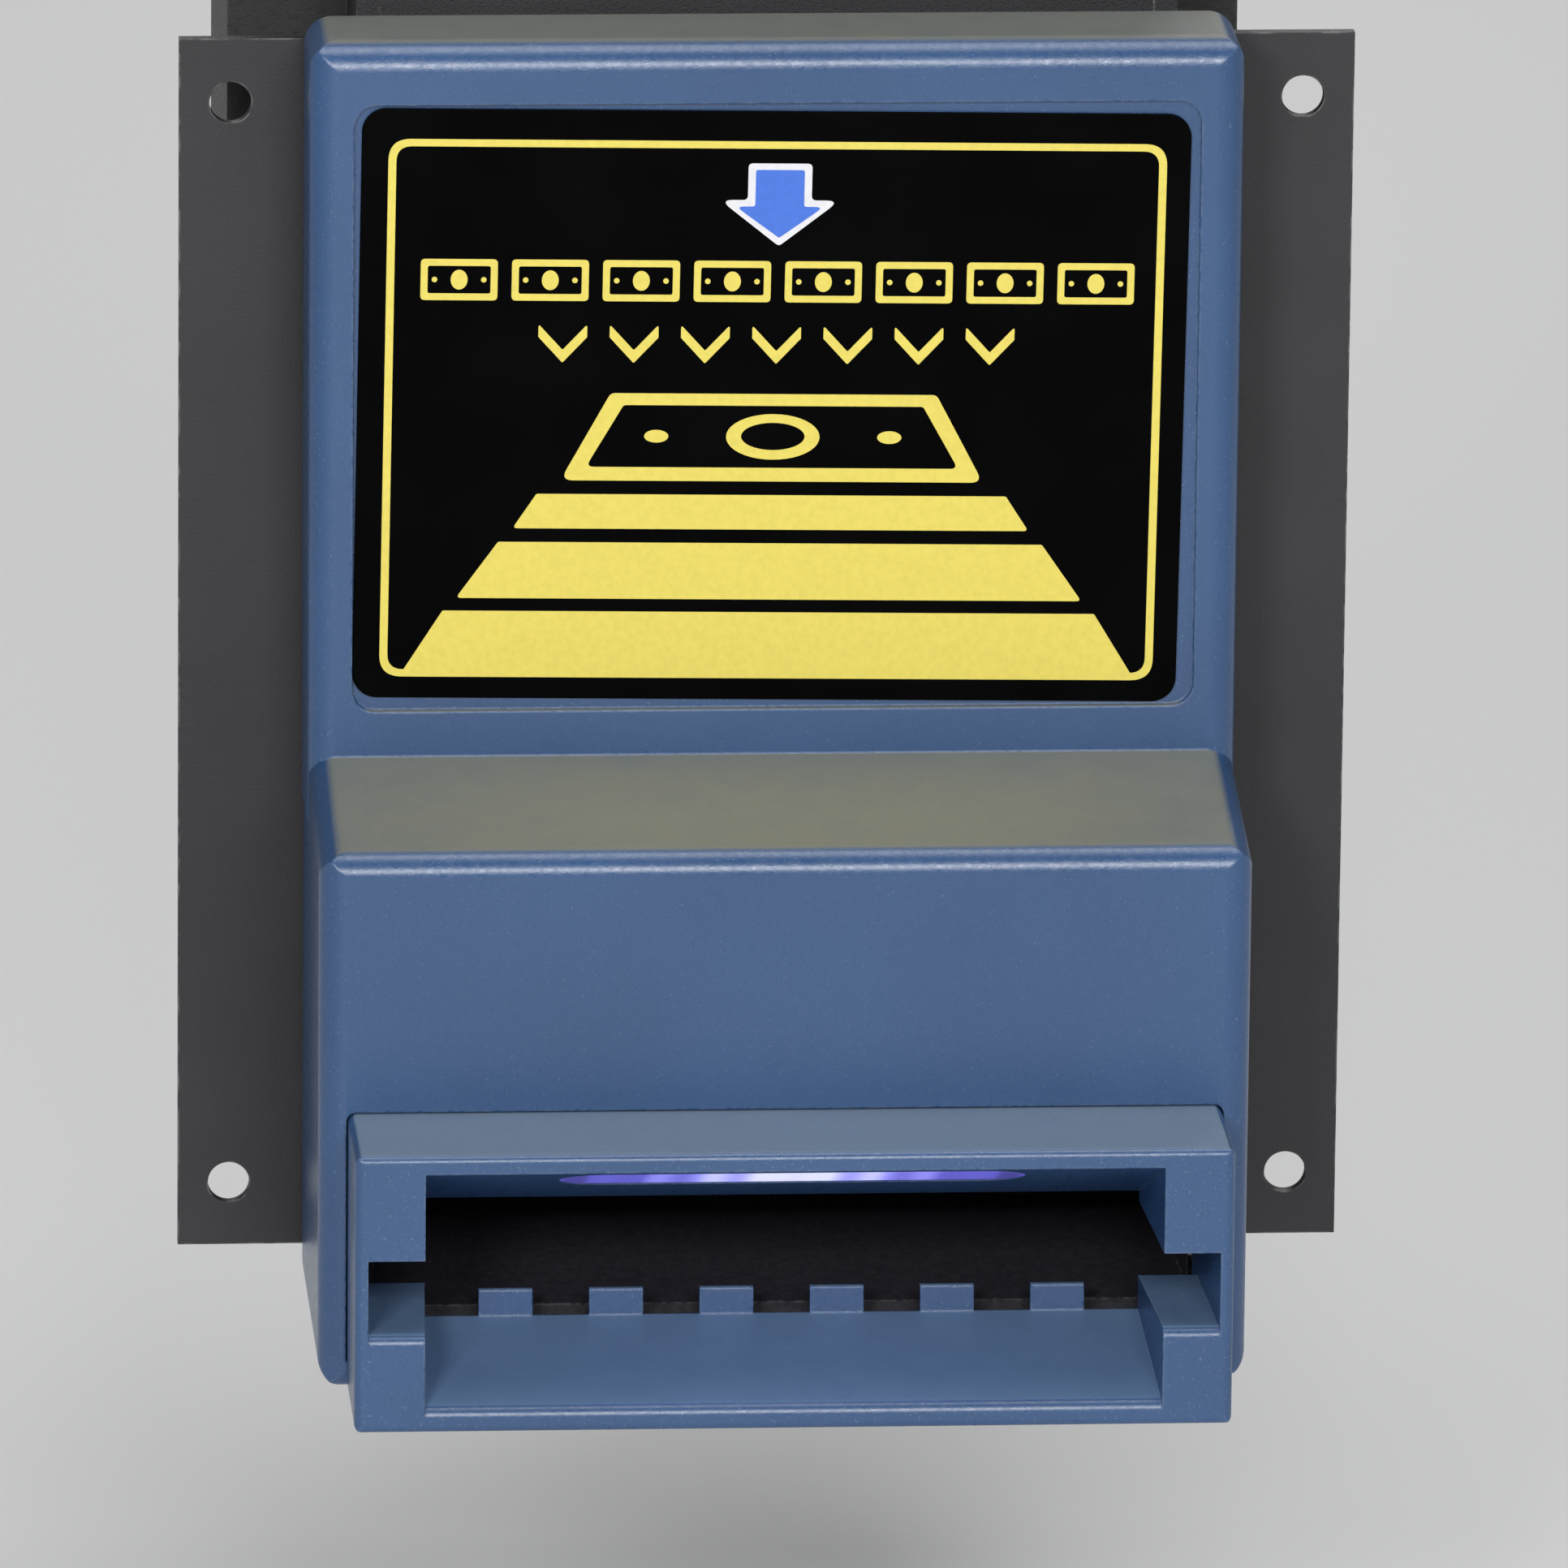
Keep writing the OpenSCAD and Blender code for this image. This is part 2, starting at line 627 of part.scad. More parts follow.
module rear_pinch_rollers() { pinch_rollers(pinch_ys[1]); }

// ---- Transport ----
module shaft(c, r, x1) { color(steel) rod_x(-plate_out - 0.3, x1, c, r); }
// A flanged belt pulley on a shaft, centred on x
module pulley(c, x, r, bore) {
    color(acetal_white) difference() {
        union() {
            rod_x(x - belt_w / 2 - 0.5, x + belt_w / 2 + 0.5, c, r);
            rod_x(x - belt_w / 2 - 1.5, x + belt_w / 2 + 1.5, c, bore + 1.6);
        }
        rod_x(x - 6, x + 6, c, bore);
    }
}
module front_pulley_shaft() { shaft(front_shaft, shaft_r, plate_out + 0.3); }
module front_pulleys() {
    for (s = [-1, 1]) pulley(front_shaft, s * inner_belt_x, small_r - belt_t - pulley_gap, shaft_r);
}
module rear_drive_shaft() { shaft(rear_shaft, drive_r, gear_x + gear_w + 1); }
module rear_pulleys() {
    for (s = [-1, 1]) {
        pulley(rear_shaft, s * inner_belt_x, big_r - belt_t - pulley_gap, drive_r);
        pulley(rear_shaft, s * outer_belt_x, big_r - belt_t - pulley_gap, drive_r);
    }
}
module top_pulley_shaft() { shaft(top_shaft, shaft_r, plate_out + 0.3); }
module top_pulleys() {
    for (s = [-1, 1]) pulley(top_shaft, s * outer_belt_x, small_r - belt_t - pulley_gap, shaft_r);
}
encoder_x = -27;
module encoder_disc() {
    x = encoder_x;
    color(plastic_black) along_x(x, x + 1) translate(top_shaft) difference() {
        circle(7.5);
        circle(shaft_r);
        for (i = [0 : 11]) rotate(30 * i) translate([4.6, -0.5]) square([2.1, 1]);
    }
}
module encoder_sensor() {
    x = encoder_x;
    y = top_shaft[0] - 5.5;
    z = top_shaft[1];
    color(plastic_black) difference() {
        box([x - 4, x + 5], [y - 9, y + 3], [z - 4, z + 4]);
        box([x - 1.2, x + 2.2], [y - 3, y + 4], [z - 5, z + 5]);
    }
}
module belt(c1, r1, c2, r2, x) {
    along_x(x - belt_w / 2, x + belt_w / 2) difference() {
        polygon(belt_line(c1, r1, c2, r2, 20));
        polygon(belt_line(c1, r1 - belt_t, c2, r2 - belt_t, 20));
    }
}
module transport_belts() {
    color(rubber_black) for (s = [-1, 1]) belt(front_shaft, small_r, rear_shaft, big_r, s * inner_belt_x);
}
module stacker_belts() {
    color(rubber_black) for (s = [-1, 1]) belt(top_shaft, small_r, rear_shaft, big_r, s * outer_belt_x);
}
// A gear on the right side; its first tooth points at angle a
module side_gear(c, n, x0, x1, bore, a) {
    along_x(x0, x1) translate(c) rotate(a) gear_2d(gear_m, n, 0.16, bore);
}
module drive_gear() {
    color(acetal_white) side_gear(rear_shaft, drive_teeth, gear_x, gear_x + gear_w, drive_r, compound_a);
}
module compound_gear() {
    c = compound_shaft;
    color(acetal_white) {
        side_gear(c, first_teeth, gear_x + 2.4, gear_x + 4.4, 1.55, motor_a);
        side_gear(c, second_teeth, gear_x, gear_x + 2.4, 1.55,
            compound_a + 180 + 180 / second_teeth);
    }
}
module transport_pinion() {
    color("goldenrod") side_gear(motor_shaft, pinion_teeth, gear_x + 2.2, gear_x + 4.6, 1,
        motor_a + 180 + 180 / pinion_teeth);
    color(steel) rod_x(plate_in - 0.5, gear_x + 4.6, motor_shaft, 1);
}
// A small direct-current motor with its shaft end towards +X at x1
module motor(c, x0, x1) {
    color(steel) {
        rod_x(x0 + 3, x1 - 1.5, c, motor_r);
        rod_x(x1 - 1.5, x1, c, 4);
    }
    color(plastic_black) rod_x(x0, x0 + 3, c, motor_r - 2);
}
module transport_motor() {
    motor(motor_shaft, 10, plate_in - 1);
    color(steel) rod_x(gear_x - 1, gear_x + 4.9, compound_shaft, 1.5);
    color(steel) rod_x(plate_in, gear_x - 1, compound_shaft, 1.5);
}
module shaft_bushes() {
    color("goldenrod") both_sides() {
        for (c = [front_shaft, top_shaft, pinion_axis]) bush(c, shaft_r, bush_r);
        bush(rear_shaft, drive_r, drive_bush_r);
    }
}
module bush(c, bore, outer) {
    difference() {
        union() {
            rod_x(plate_in, plate_out, c, outer);
            rod_x(plate_in - 0.8, plate_in, c, outer + 1);
        }
        rod_x(plate_in - 2, plate_out + eps, c, bore + 0.06);
    }
}

// ---- Stacker ----
module stacker_frame() {
    x = frame_w / 2;
    z = [-14, 128];
    color(plastic_grey) difference() {
        union() {
            box([-x, x], [frame_back_y - 3, frame_back_y], z);
            both_sides() box([x - 1.6, x], [wall_back_y, frame_back_y - 3], z);
        }
        both_sides() {
            box([rack_x - rack_w / 2 - 0.5, rack_x + rack_w / 2 + 0.5], [40, 60],
                [pinion_axis[1] + rack_r - 1.5, pinion_axis[1] + rack_r + 5.5]);
            for (q = rod_zs) rod_y(40, 60, [rod_x, q], rod_r + 0.06);
            rod_x(x - 3, x + eps, pinion_axis, 4);
            along_x(x - 3, x + eps) round_rect([10, 40], [96, 122], 3);
            along_x(x - 3, x + eps) round_rect([8, 40], [-8, 40], 3);
        }
        rod_x(0, x + eps, stacker_axis, motor_r + 0.4);
        rod_x(0, x + eps, motor_shaft, motor_r + 0.6);
        along_y(40, 60) round_rect([-8, 8], [-4, 60], 3);
        along_y(40, 60) round_rect([-8, 8], [92, 122], 3);
    }
}
module pusher_plate() {
    color(plastic_grey) difference() {
        along_y(pusher_y, pusher_y + 3) round_rect([-30, 30], pusher_z, 4);
        for (x = [-18, 0, 18]) along_y(pusher_y + 1.6, pusher_y + 4)
            round_rect([x - 5, x + 5], [pusher_z[0] + 8, pusher_z[1] - 8], 3);
    }
}
// Rack along Y with its teeth pointing down; the pitch line is at z = 0
module rack_2d(len, m, play) {
    p = PI * m;
    tip = p / 4 - play / 2 - 0.7 * m * tan(20);
    root = p / 4 - play / 2 + 1.3 * m * tan(20);
    n = floor(len / p / 2);
    translate([-len / 2, 1.3 * m]) square([len, 2.6]);
    for (i = [-n + 1 : n - 1])
        polygon([[i * p - root, 1.3 * m], [i * p - tip, -0.7 * m], [i * p + tip, -0.7 * m], [i * p + root, 1.3 * m]]);
}
module pusher_racks() {
    y = pusher_y - rack_len / 2;
    shift = (y - pinion_axis[0]) / (PI * rack_m);
    color(acetal_white) both_sides() along_x(rack_x - rack_w / 2, rack_x + rack_w / 2)
        translate([pinion_axis[0] + round(shift) * PI * rack_m, pinion_axis[1] + rack_r])
            rack_2d(2 * (pusher_y - pinion_axis[0] - round(shift) * PI * rack_m), rack_m, 0.3);
}
module guide_rods() {
    color(steel) both_sides() for (q = rod_zs) rod_y(pusher_y - 42, pusher_y, [rod_x, q], rod_r);
}
module pinion_shaft() {
    color(steel) rod_x(-plate_out - 0.3, gear_x + 2.4, pinion_axis, shaft_r);
    color(acetal_white) both_sides() along_x(rack_x - rack_w / 2 + 0.5, rack_x + rack_w / 2 - 0.5)
        translate(pinion_axis) rotate(90 + 180 / rack_teeth) gear_2d(rack_m, rack_teeth, 0.3, shaft_r);
}
module stacker_gear() {
    color(acetal_white) side_gear(pinion_axis, stacker_teeth, gear_x, gear_x + gear_w, shaft_r, stacker_a);
}
module stacker_motor() { motor(stacker_axis, 19, plate_in - 1); }
module stacker_pinion() {
    color("goldenrod") side_gear(stacker_axis, pinion_teeth, gear_x - 0.2, gear_x + gear_w + 0.2, 1,
        stacker_a + 180 + 180 / pinion_teeth);
    color(steel) rod_x(plate_in - 0.5, gear_x + gear_w + 0.2, stacker_axis, 1);
}
gear_cover_z = [-58, 90];
module gear_cover() {
    x = [plate_out, gear_x + 7.2];
    y = [20, 66];
    color(plastic_black) difference() {
        along_x(x[0], x[1]) round_rect(y, gear_cover_z, 3);
        along_x(x[0] - eps, x[1] - 1.4) round_rect(y + [1.4, -1.4], gear_cover_z + [1.4, -1.4], 2);
        for (i = [0 : 6]) along_x(x[1] - 2, x[1] + eps) translate([44, 6 + 7 * i]) stadium(24, 2.4);
    }
}

// ---- Cash box ----
knuckle_x = [24, 40];
module cash_box() {
    x = plate_out;
    w = box_wall;
    color(plastic_black) difference() {
        union() {
            difference() {
                box([-x, x], [box_y, box_back_y], [box_z, box_top_z]);
                box([w - x, x - w], [box_y + w, box_back_y - w], [box_z + w, box_top_z + eps]);
                along_y(box_y - eps, box_y + w + eps)
                    round_rect([-window_x, window_x], [pusher_z[0] - 2.5, pusher_z[1] + 4], 2);
            }
            both_sides() {
                box(knuckle_x, [lid_axis[0] - 1.5, box_back_y], [box_top_z - 1, lid_axis[1]]);
                rod_x(knuckle_x[0], knuckle_x[1], lid_axis, 3);
            }
        }
        rod_x(-x, x, lid_axis, 1.5);
    }
}
module cash_box_lid() {
    z = box_top_z + 0.2;
    color(plastic_black) difference() {
        union() {
            along_z(z, z + 2.4) round_rect([-plate_out, plate_out], [box_y, lid_axis[0] - 3.4], 1);
            box([0.4 - knuckle_x[0], knuckle_x[0] - 0.4], [lid_axis[0] - 4, lid_axis[0]], [z, z + 2.4]);
            rod_x(0.4 - knuckle_x[0], knuckle_x[0] - 0.4, lid_axis, 3);
            along_z(z + 2.4, z + 4.4) round_rect([-16, 16], [box_y + 3, box_y + 9], 1.5);
        }
        rod_x(-knuckle_x[1], knuckle_x[1], lid_axis, 1.55);
    }
}
module lid_hinge_pin() { color(steel) rod_x(-knuckle_x[1], knuckle_x[1], lid_axis, 1.5); }
module pressure_plate() {
    color(plastic_grey) difference() {
        along_y(plate_y, plate_y + 2) round_rect([-38, 38], [box_z + 5, box_top_z - 6], 3);
        for (z = [10, 68, 126]) along_y(plate_y + 1.2, plate_y + 3) round_rect([-30, 30], [z - 8, z + 8], 3);
    }
}
spring_zs = [24, 110];
module pressure_springs() {
    y0 = plate_y + 2;
    y1 = box_back_y - box_wall;
    color(steel) for (z = spring_zs) translate([0, y1, z]) rotate([90, 0, 0])
        difference() { cylinder(y1 - y0, 15, 9); translate([0, 0, -eps]) cylinder(y1 - y0 + 2 * eps, 13.4, 7.4); }
}

// ---- Electronics ----
module main_board() {
    color(board_green) difference() {
        box([board_x - board_t, board_x], board_y, board_z);
        for (y = board_y + [3.5, -3.5], z = board_z + [3.5, -3.5])
            rod_x(board_x - 3, board_x + eps, [y, z], 1.6);
    }
    color(steel) for (y = board_y + [3.5, -3.5], z = board_z + [3.5, -3.5])
        along_x(board_x, -plate_out) translate([y, z]) circle(2.6);
}
module chip(y, z, dy, dz, h) {
    x = board_x - board_t;
    box([x - h, x], [y, y + dy], [z, z + dz]);
}
module board_components() {
    x = board_x - board_t;
    color(plastic_black) {
        chip(31, 26, 18, 18, 1.6);
        chip(32, 54, 10, 14, 1.4);
        chip(46, 52, 8, 10, 1.4);
        chip(30, -2, 9, 6, 3);
    }
    color(steel) {
        chip(50, 10, 8, 4, 2.5);
        for (z = [-16, -4]) rod_x(x - 6, x, [54, z], 3.4);
    }
    color(acetal_white) for (z = [74, 90]) chip(52, z, 6, 9, 4.5);
    color(plastic_grey) difference() {
        chip(32, 76, 8, 13, 3.4);
        box([x - 4, x - 0.8], [34, 38], [77.5, 87.5]);
    }
}
switch_x = board_x - board_t;
module mode_switch_lever() {
    color(acetal_white) box([switch_x - 6, switch_x - 1.2], [34.4, 37.6], [78, 81]);
}
module harness_socket() {
    x = board_x - board_t;
    z = [board_z[0] - 4, board_z[0] + 8];
    color(acetal_white) difference() {
        box([x - 7, x], [32, 58], z);
        box([x - 5.8, x - 1.2], [33.2, 56.8], [z[0] - eps, z[1] - 2]);
    }
    color("goldenrod") for (i = [0 : 7], k = [0, 1])
        box([x - 4.7 + 2 * k, x - 4.1 + 2 * k], [36 + 2.54 * i, 36.6 + 2.54 * i], [z[0] + 3, z[1] - 2]);
}
module board_cover() {
    y = [22, 65];
    z = [board_z[0] - 3.5, board_z[1] + 4];
    color(plastic_black) difference() {
        along_x(cover_x, -plate_out) round_rect(y, z, 3);
        along_x(cover_x + 1.6, -plate_out + eps) round_rect(y + [1.6, -1.6], z + [1.6, -1.6], 2);
        box([board_x - board_t - 7.4, board_x + eps], [31.5, 58.5], [z[0] - eps, z[0] + 5]);
        along_x(cover_x - eps, cover_x + 2) round_rect([30, 42], [74, 91], 2);
        for (i = [0 : 5]) along_x(cover_x - eps, cover_x + 2) translate([44, 6 + 7 * i]) stadium(22, 2.4);
    }
}

bezel_mask();
label_plate();
inlet_snout();
light_guide();
inlet_led_board();
inlet_throat();
mounting_ears();
left_side_plate();
right_side_plate();
front_wall();
tie_rods();
top_cover();
chassis_screws();
upper_note_guide();
upper_sensor_board();
upper_sensor_windows();
magnetic_head();
turn_guide();
note_path_door();
door_hinge_pin();
door_release_slide();
door_release_spring();
lower_sensor_board();
lower_sensor_windows();
front_pinch_rollers();
rear_pinch_rollers();
front_pulley_shaft();
front_pulleys();
rear_drive_shaft();
rear_pulleys();
drive_gear();
top_pulley_shaft();
top_pulleys();
encoder_disc();
encoder_sensor();
transport_belts();
stacker_belts();
compound_gear();
transport_motor();
transport_pinion();
shaft_bushes();
stacker_frame();
pusher_plate();
pusher_racks();
guide_rods();
pinion_shaft();
stacker_gear();
stacker_motor();
stacker_pinion();
gear_cover();
cash_box();
cash_box_lid();
lid_hinge_pin();
pressure_plate();
pressure_springs();
main_board();
board_components();
harness_socket();
mode_switch_lever();
board_cover();
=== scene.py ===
import math

import bmesh
import bpy
from mathutils import Matrix, Vector


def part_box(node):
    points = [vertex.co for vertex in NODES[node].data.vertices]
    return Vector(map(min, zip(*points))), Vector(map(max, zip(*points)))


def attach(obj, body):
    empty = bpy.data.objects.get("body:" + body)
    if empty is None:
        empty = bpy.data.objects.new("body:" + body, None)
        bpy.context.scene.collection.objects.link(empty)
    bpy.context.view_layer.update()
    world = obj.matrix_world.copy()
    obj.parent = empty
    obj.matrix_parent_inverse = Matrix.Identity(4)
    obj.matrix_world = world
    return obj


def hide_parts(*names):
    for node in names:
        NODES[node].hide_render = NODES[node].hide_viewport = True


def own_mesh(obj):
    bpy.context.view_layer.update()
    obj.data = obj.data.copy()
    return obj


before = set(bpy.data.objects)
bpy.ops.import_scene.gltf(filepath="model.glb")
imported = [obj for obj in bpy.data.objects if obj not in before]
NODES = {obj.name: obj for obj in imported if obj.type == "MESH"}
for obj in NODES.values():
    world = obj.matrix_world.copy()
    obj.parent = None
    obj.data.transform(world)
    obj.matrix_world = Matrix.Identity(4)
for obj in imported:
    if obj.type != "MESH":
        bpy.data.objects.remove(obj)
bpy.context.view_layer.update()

MM = 0.001
SCENE = bpy.context.scene

# Sockets of the Mix node when it mixes colours
MIX_A, MIX_B, MIX_RESULT = 6, 7, 2
# Rays of the Bevel node, where it finds edges for wear and painted highlight, and where it rounds sharp ones
EDGE_SAMPLES = 4
ROUNDING_SAMPLES = 6


# ---------------------------------------------------------------- materials
def shade(colour, factor):
    """The colour, darker or lighter by a factor."""
    return tuple(c * factor for c in colour)


class Look:
    """A procedural material: its shader, object coordinates in millimetres, and short node calls."""

    def __init__(self, name, colour, rough=0.5, metal=0.0, coat=0.0, specular=0.5):
        self.material = bpy.data.materials.new(name)
        self.material.use_nodes = True
        self.tree = self.material.node_tree
        self.shader = self.tree.nodes["Principled BSDF"]
        self.set("Base Color", (*colour, 1.0))
        self.set("Roughness", rough)
        self.set("Metallic", metal)
        self.set("Coat Weight", coat)
        self.set("Specular IOR Level", specular)
        coord = self.tree.nodes.new("ShaderNodeTexCoord")
        scale = self.tree.nodes.new("ShaderNodeMapping")
        scale.inputs["Scale"].default_value = (1 / MM,) * 3
        self.tree.links.new(coord.outputs["Object"], scale.inputs["Vector"])
        self.mm = scale.outputs["Vector"]

    def set(self, socket, value):
        self.shader.inputs[socket].default_value = value

    def to(self, output, socket):
        self.tree.links.new(output, self.shader.inputs[socket])

    def node(self, kind, values=None, **links):
        made = self.tree.nodes.new("ShaderNode" + kind)
        for key, value in (values or {}).items():
            if key in made.inputs:
                made.inputs[key].default_value = value
            else:
                setattr(made, key, value)
        for key, source in links.items():
            self.tree.links.new(source, made.inputs[key.replace("_", " ")])
        return made

    def noise(self, size, detail=2.0, rough=0.5, vector=None):
        """Noise whose features are about size millimetres across."""
        made = self.node("TexNoise", {"Scale": 1.0 / size, "Detail": detail, "Roughness": rough},
                         Vector=vector or self.mm)
        return made.outputs["Fac"]

    def stretch(self, x, y, z):
        """Coordinates in millimetres, scaled by a factor along each axis."""
        made = self.node("Mapping", {"Scale": (x, y, z)}, Vector=self.mm)
        return made.outputs["Vector"]

    def ramp(self, source, low, high, low_value=0.0, high_value=1.0):
        made = self.node("MapRange", {"From Min": low, "From Max": high,
                                      "To Min": low_value, "To Max": high_value}, Value=source)
        return made.outputs["Result"]

    def blend(self, factor, a, b):
        """A colour between a and b; each is a colour or an output."""
        made = self.tree.nodes.new("ShaderNodeMix")
        made.data_type = "RGBA"
        self.tree.links.new(factor, made.inputs["Factor"])
        for socket, value in ((MIX_A, a), (MIX_B, b)):
            if isinstance(value, tuple):
                made.inputs[socket].default_value = (*value, 1.0)
            else:
                self.tree.links.new(value, made.inputs[socket])
        return made.outputs[MIX_RESULT]

    def math(self, operation, a, b):
        made = self.node("Math", {"operation": operation})
        for socket, value in enumerate((a, b)):
            if isinstance(value, (int, float)):
                made.inputs[socket].default_value = value
            else:
                self.tree.links.new(value, made.inputs[socket])
        return made.outputs[0]

    def edges(self, radius):
        """0 on flat stretches and towards 1 along sharp edges, within radius millimetres."""
        # Cosine between the plain and the bevelled normal where an edge gets its full edge colour (wear, and
        # on the plastics also painted highlight)
        full_edge_dot = 0.86
        bevel = self.node("Bevel", {"Radius": radius * MM, "samples": EDGE_SAMPLES})
        plain = self.node("NewGeometry")
        dot = self.node("VectorMath", {"operation": "DOT_PRODUCT"})
        self.tree.links.new(bevel.outputs[0], dot.inputs[0])
        self.tree.links.new(plain.outputs["Normal"], dot.inputs[1])
        return self.ramp(dot.outputs["Value"], 1.0, full_edge_dot)

    def bump(self, height, depth, rounding=0.0):
        """Adds a bump of depth millimetres from height, over sharp edges rounded by rounding millimetres."""
        made = self.node("Bump", {"Distance": depth * MM}, Height=height)
        if rounding:
            bevel = self.node("Bevel", {"Radius": rounding * MM, "samples": ROUNDING_SAMPLES})
            self.tree.links.new(bevel.outputs[0], made.inputs["Normal"])
        self.to(made.outputs["Normal"], "Normal")


def grained_plastic(name, dark, light, wear, grain=0.42, depth=0.05, rough=(0.42, 0.62), spec=0.5,
                    sparkle=0.0, dust=None, edge_wear_and_highlight_share=0.55, rounding=0.0):
    """Moulded plastic with an eroded grain, slow tone changes and bright edges, partly wear and partly
    painted highlight.

    grain, depth and rounding are in millimetres. sparkle is the strength of bright specks painted in as
    glints, and dust is a film on the faces that look up, partly dust and partly a painted sheen, with the
    same keys as MASK_DUST_AND_SHEEN.
    """
    look = Look(name, dark, specular=spec)
    tone = look.ramp(look.noise(26, 3.0), 0.35, 0.65)
    colour = look.blend(tone, dark, light)
    fine = look.noise(grain, 3.0, 0.65)
    coarse = look.noise(grain * 2.6, 2.0)
    height = look.math("ADD", fine, look.math("MULTIPLY", coarse, 0.6))
    colour = look.blend(look.ramp(fine, 0.35, 0.7, 0.0, 0.2), colour, shade(dark, 0.72))
    # Lighter edges: partly wear, partly a painted highlight along them
    edge = look.math("MULTIPLY", look.edges(0.45), look.ramp(coarse, 0.35, 0.6))
    colour = look.blend(look.math("MULTIPLY", edge, edge_wear_and_highlight_share), colour, wear)
    if sparkle:
        # Painted glints: bright specks in the colour, standing in for sparkle from the light
        painted_glints = look.ramp(look.noise(grain * 0.8, 1.0, 0.4), 0.69, 0.74, 0.0, sparkle)
        colour = look.blend(painted_glints, colour, wear)
    roughness = look.ramp(coarse, 0.3, 0.7, *rough)
    # Painted sheen: faces that look up get a lighter film, bluish low down and olive higher up, partly dust
    # and partly a painted reflection
    if dust:
        facing = look.node("SeparateXYZ", Vector=look.node("NewGeometry").outputs["Normal"]).outputs["Z"]
        height_z = look.node("SeparateXYZ", Vector=look.mm).outputs["Z"]
        rise = look.ramp(height_z, dust["low_z"], dust["high_z"])
        cover = look.math("MULTIPLY", look.ramp(facing, 0.86, 0.96),
                          look.ramp(rise, 0.0, 1.0, dust["low_cover"], dust["high_cover"]))
        cover = look.math("MULTIPLY", cover, look.ramp(look.noise(5.0, 4.0), 0.2, 0.6, 0.88, 1.0))
        colour = look.blend(cover, colour, look.blend(rise, dust["low_colour"], dust["high_colour"]))
        roughness = look.math("ADD", roughness, look.math("MULTIPLY", cover, 0.3))
    look.to(colour, "Base Color")
    look.to(roughness, "Roughness")
    look.bump(height, depth, rounding)
    return look.material


def coated_steel(name, colour, wear):
    """Fine powder coat over sheet steel, with bare rubbed edges."""
    look = Look(name, colour, rough=0.48)
    fine = look.noise(0.28, 2.0)
    tone = look.ramp(look.noise(18, 2.0), 0.3, 0.7)
    base = look.blend(tone, colour, shade(colour, 1.35))
    edge = look.math("MULTIPLY", look.edges(0.3), look.ramp(look.noise(2.2, 3.0), 0.45, 0.6))
    look.to(look.blend(look.math("MULTIPLY", edge, 0.8), base, wear), "Base Color")
    look.to(look.ramp(fine, 0.3, 0.7, 0.38, 0.6), "Roughness")
    look.bump(fine, 0.03)
    return look.material


def turned_metal(name, colour, rough, along=(0.05, 1.0, 1.0)):
    """Bright metal with faint stains and fine lines, drawn out along the axes where along is small."""
    look = Look(name, colour, metal=1.0)
    lines = look.noise(0.22, 2.0, 0.6, look.stretch(*along))
    stain = look.noise(7, 3.0)
    stained = look.blend(look.ramp(stain, 0.3, 0.75, 0.0, 0.5), colour, shade(colour, 0.72))
    look.to(stained, "Base Color")
    look.to(look.math("ADD", look.ramp(lines, 0.3, 0.7, rough, rough + 0.16),
                      look.ramp(stain, 0.4, 0.8, 0.0, 0.1)), "Roughness")
    look.bump(lines, 0.012)
    return look.material


def rubber(name, colour, grain):
    """Matte rubber with a ground surface and dusty patches."""
    look = Look(name, colour, rough=0.8, specular=0.3)
    fine = look.noise(grain, 3.0)
    dust = look.ramp(look.noise(4, 3.0), 0.45, 0.75, 0.0, 0.4)
    look.to(look.blend(dust, colour, (0.16, 0.155, 0.15)), "Base Color")
    look.to(look.ramp(fine, 0.3, 0.7, 0.7, 0.92), "Roughness")
    look.bump(fine, 0.05)
    return look.material


def circuit_board(name):
    """Green solder mask with raised copper tracks, pads and vias."""
    look = Look(name, (0.01, 0.09, 0.035), rough=0.3, coat=0.3)
    grid = look.node("TexBrick", {"Scale": 0.09, "Mortar Size": 0.035, "Mortar Smooth": 0.1,
                                  "offset": 0.37, "Brick Width": 0.9, "Row Height": 0.16,
                                  "Color1": (0, 0, 0, 1), "Color2": (0.25, 0.25, 0.25, 1),
                                  "Mortar": (1, 1, 1, 1)})
    turned = look.node("Mapping", {"Rotation": (math.radians(90), 0, math.radians(90))}, Vector=look.mm)
    look.tree.links.new(turned.outputs["Vector"], grid.inputs["Vector"])
    track = grid.outputs["Fac"]
    vias = look.node("TexVoronoi", {"Scale": 0.33, "Randomness": 0.75}, Vector=look.mm)
    via = look.ramp(vias.outputs["Distance"], 0.17, 0.14)
    base = look.blend(look.ramp(look.noise(9, 2.0), 0.3, 0.7), (0.008, 0.075, 0.03), (0.012, 0.11, 0.045))
    tracked = look.blend(track, base, (0.02, 0.19, 0.075))
    look.to(look.blend(via, tracked, (0.55, 0.5, 0.36)), "Base Color")
    look.to(look.math("MULTIPLY", via, 0.9), "Metallic")
    look.to(look.ramp(track, 0.0, 1.0, 0.26, 0.36), "Roughness")
    look.bump(look.math("ADD", track, via), 0.05)
    return look.material


def label_film(name):
    """Black satin film with a faint haze and fine handling scratches."""
    look = Look(name, (0.002, 0.002, 0.002), rough=0.5, specular=0.02)
    haze = look.noise(14, 3.0)
    scratch = look.noise(0.5, 2.0, 0.6, look.stretch(0.06, 1.0, 1.0))
    hazed = look.blend(look.ramp(haze, 0.4, 0.8, 0.0, 0.5), (0.001, 0.001, 0.0012), (0.003, 0.003, 0.0034))
    look.to(hazed, "Base Color")
    look.to(look.math("ADD", look.ramp(haze, 0.3, 0.7, 0.42, 0.52),
                      look.ramp(scratch, 0.62, 0.7, 0.0, 0.08)), "Roughness")
    look.bump(look.noise(0.9, 2.0), 0.01)
    return look.material


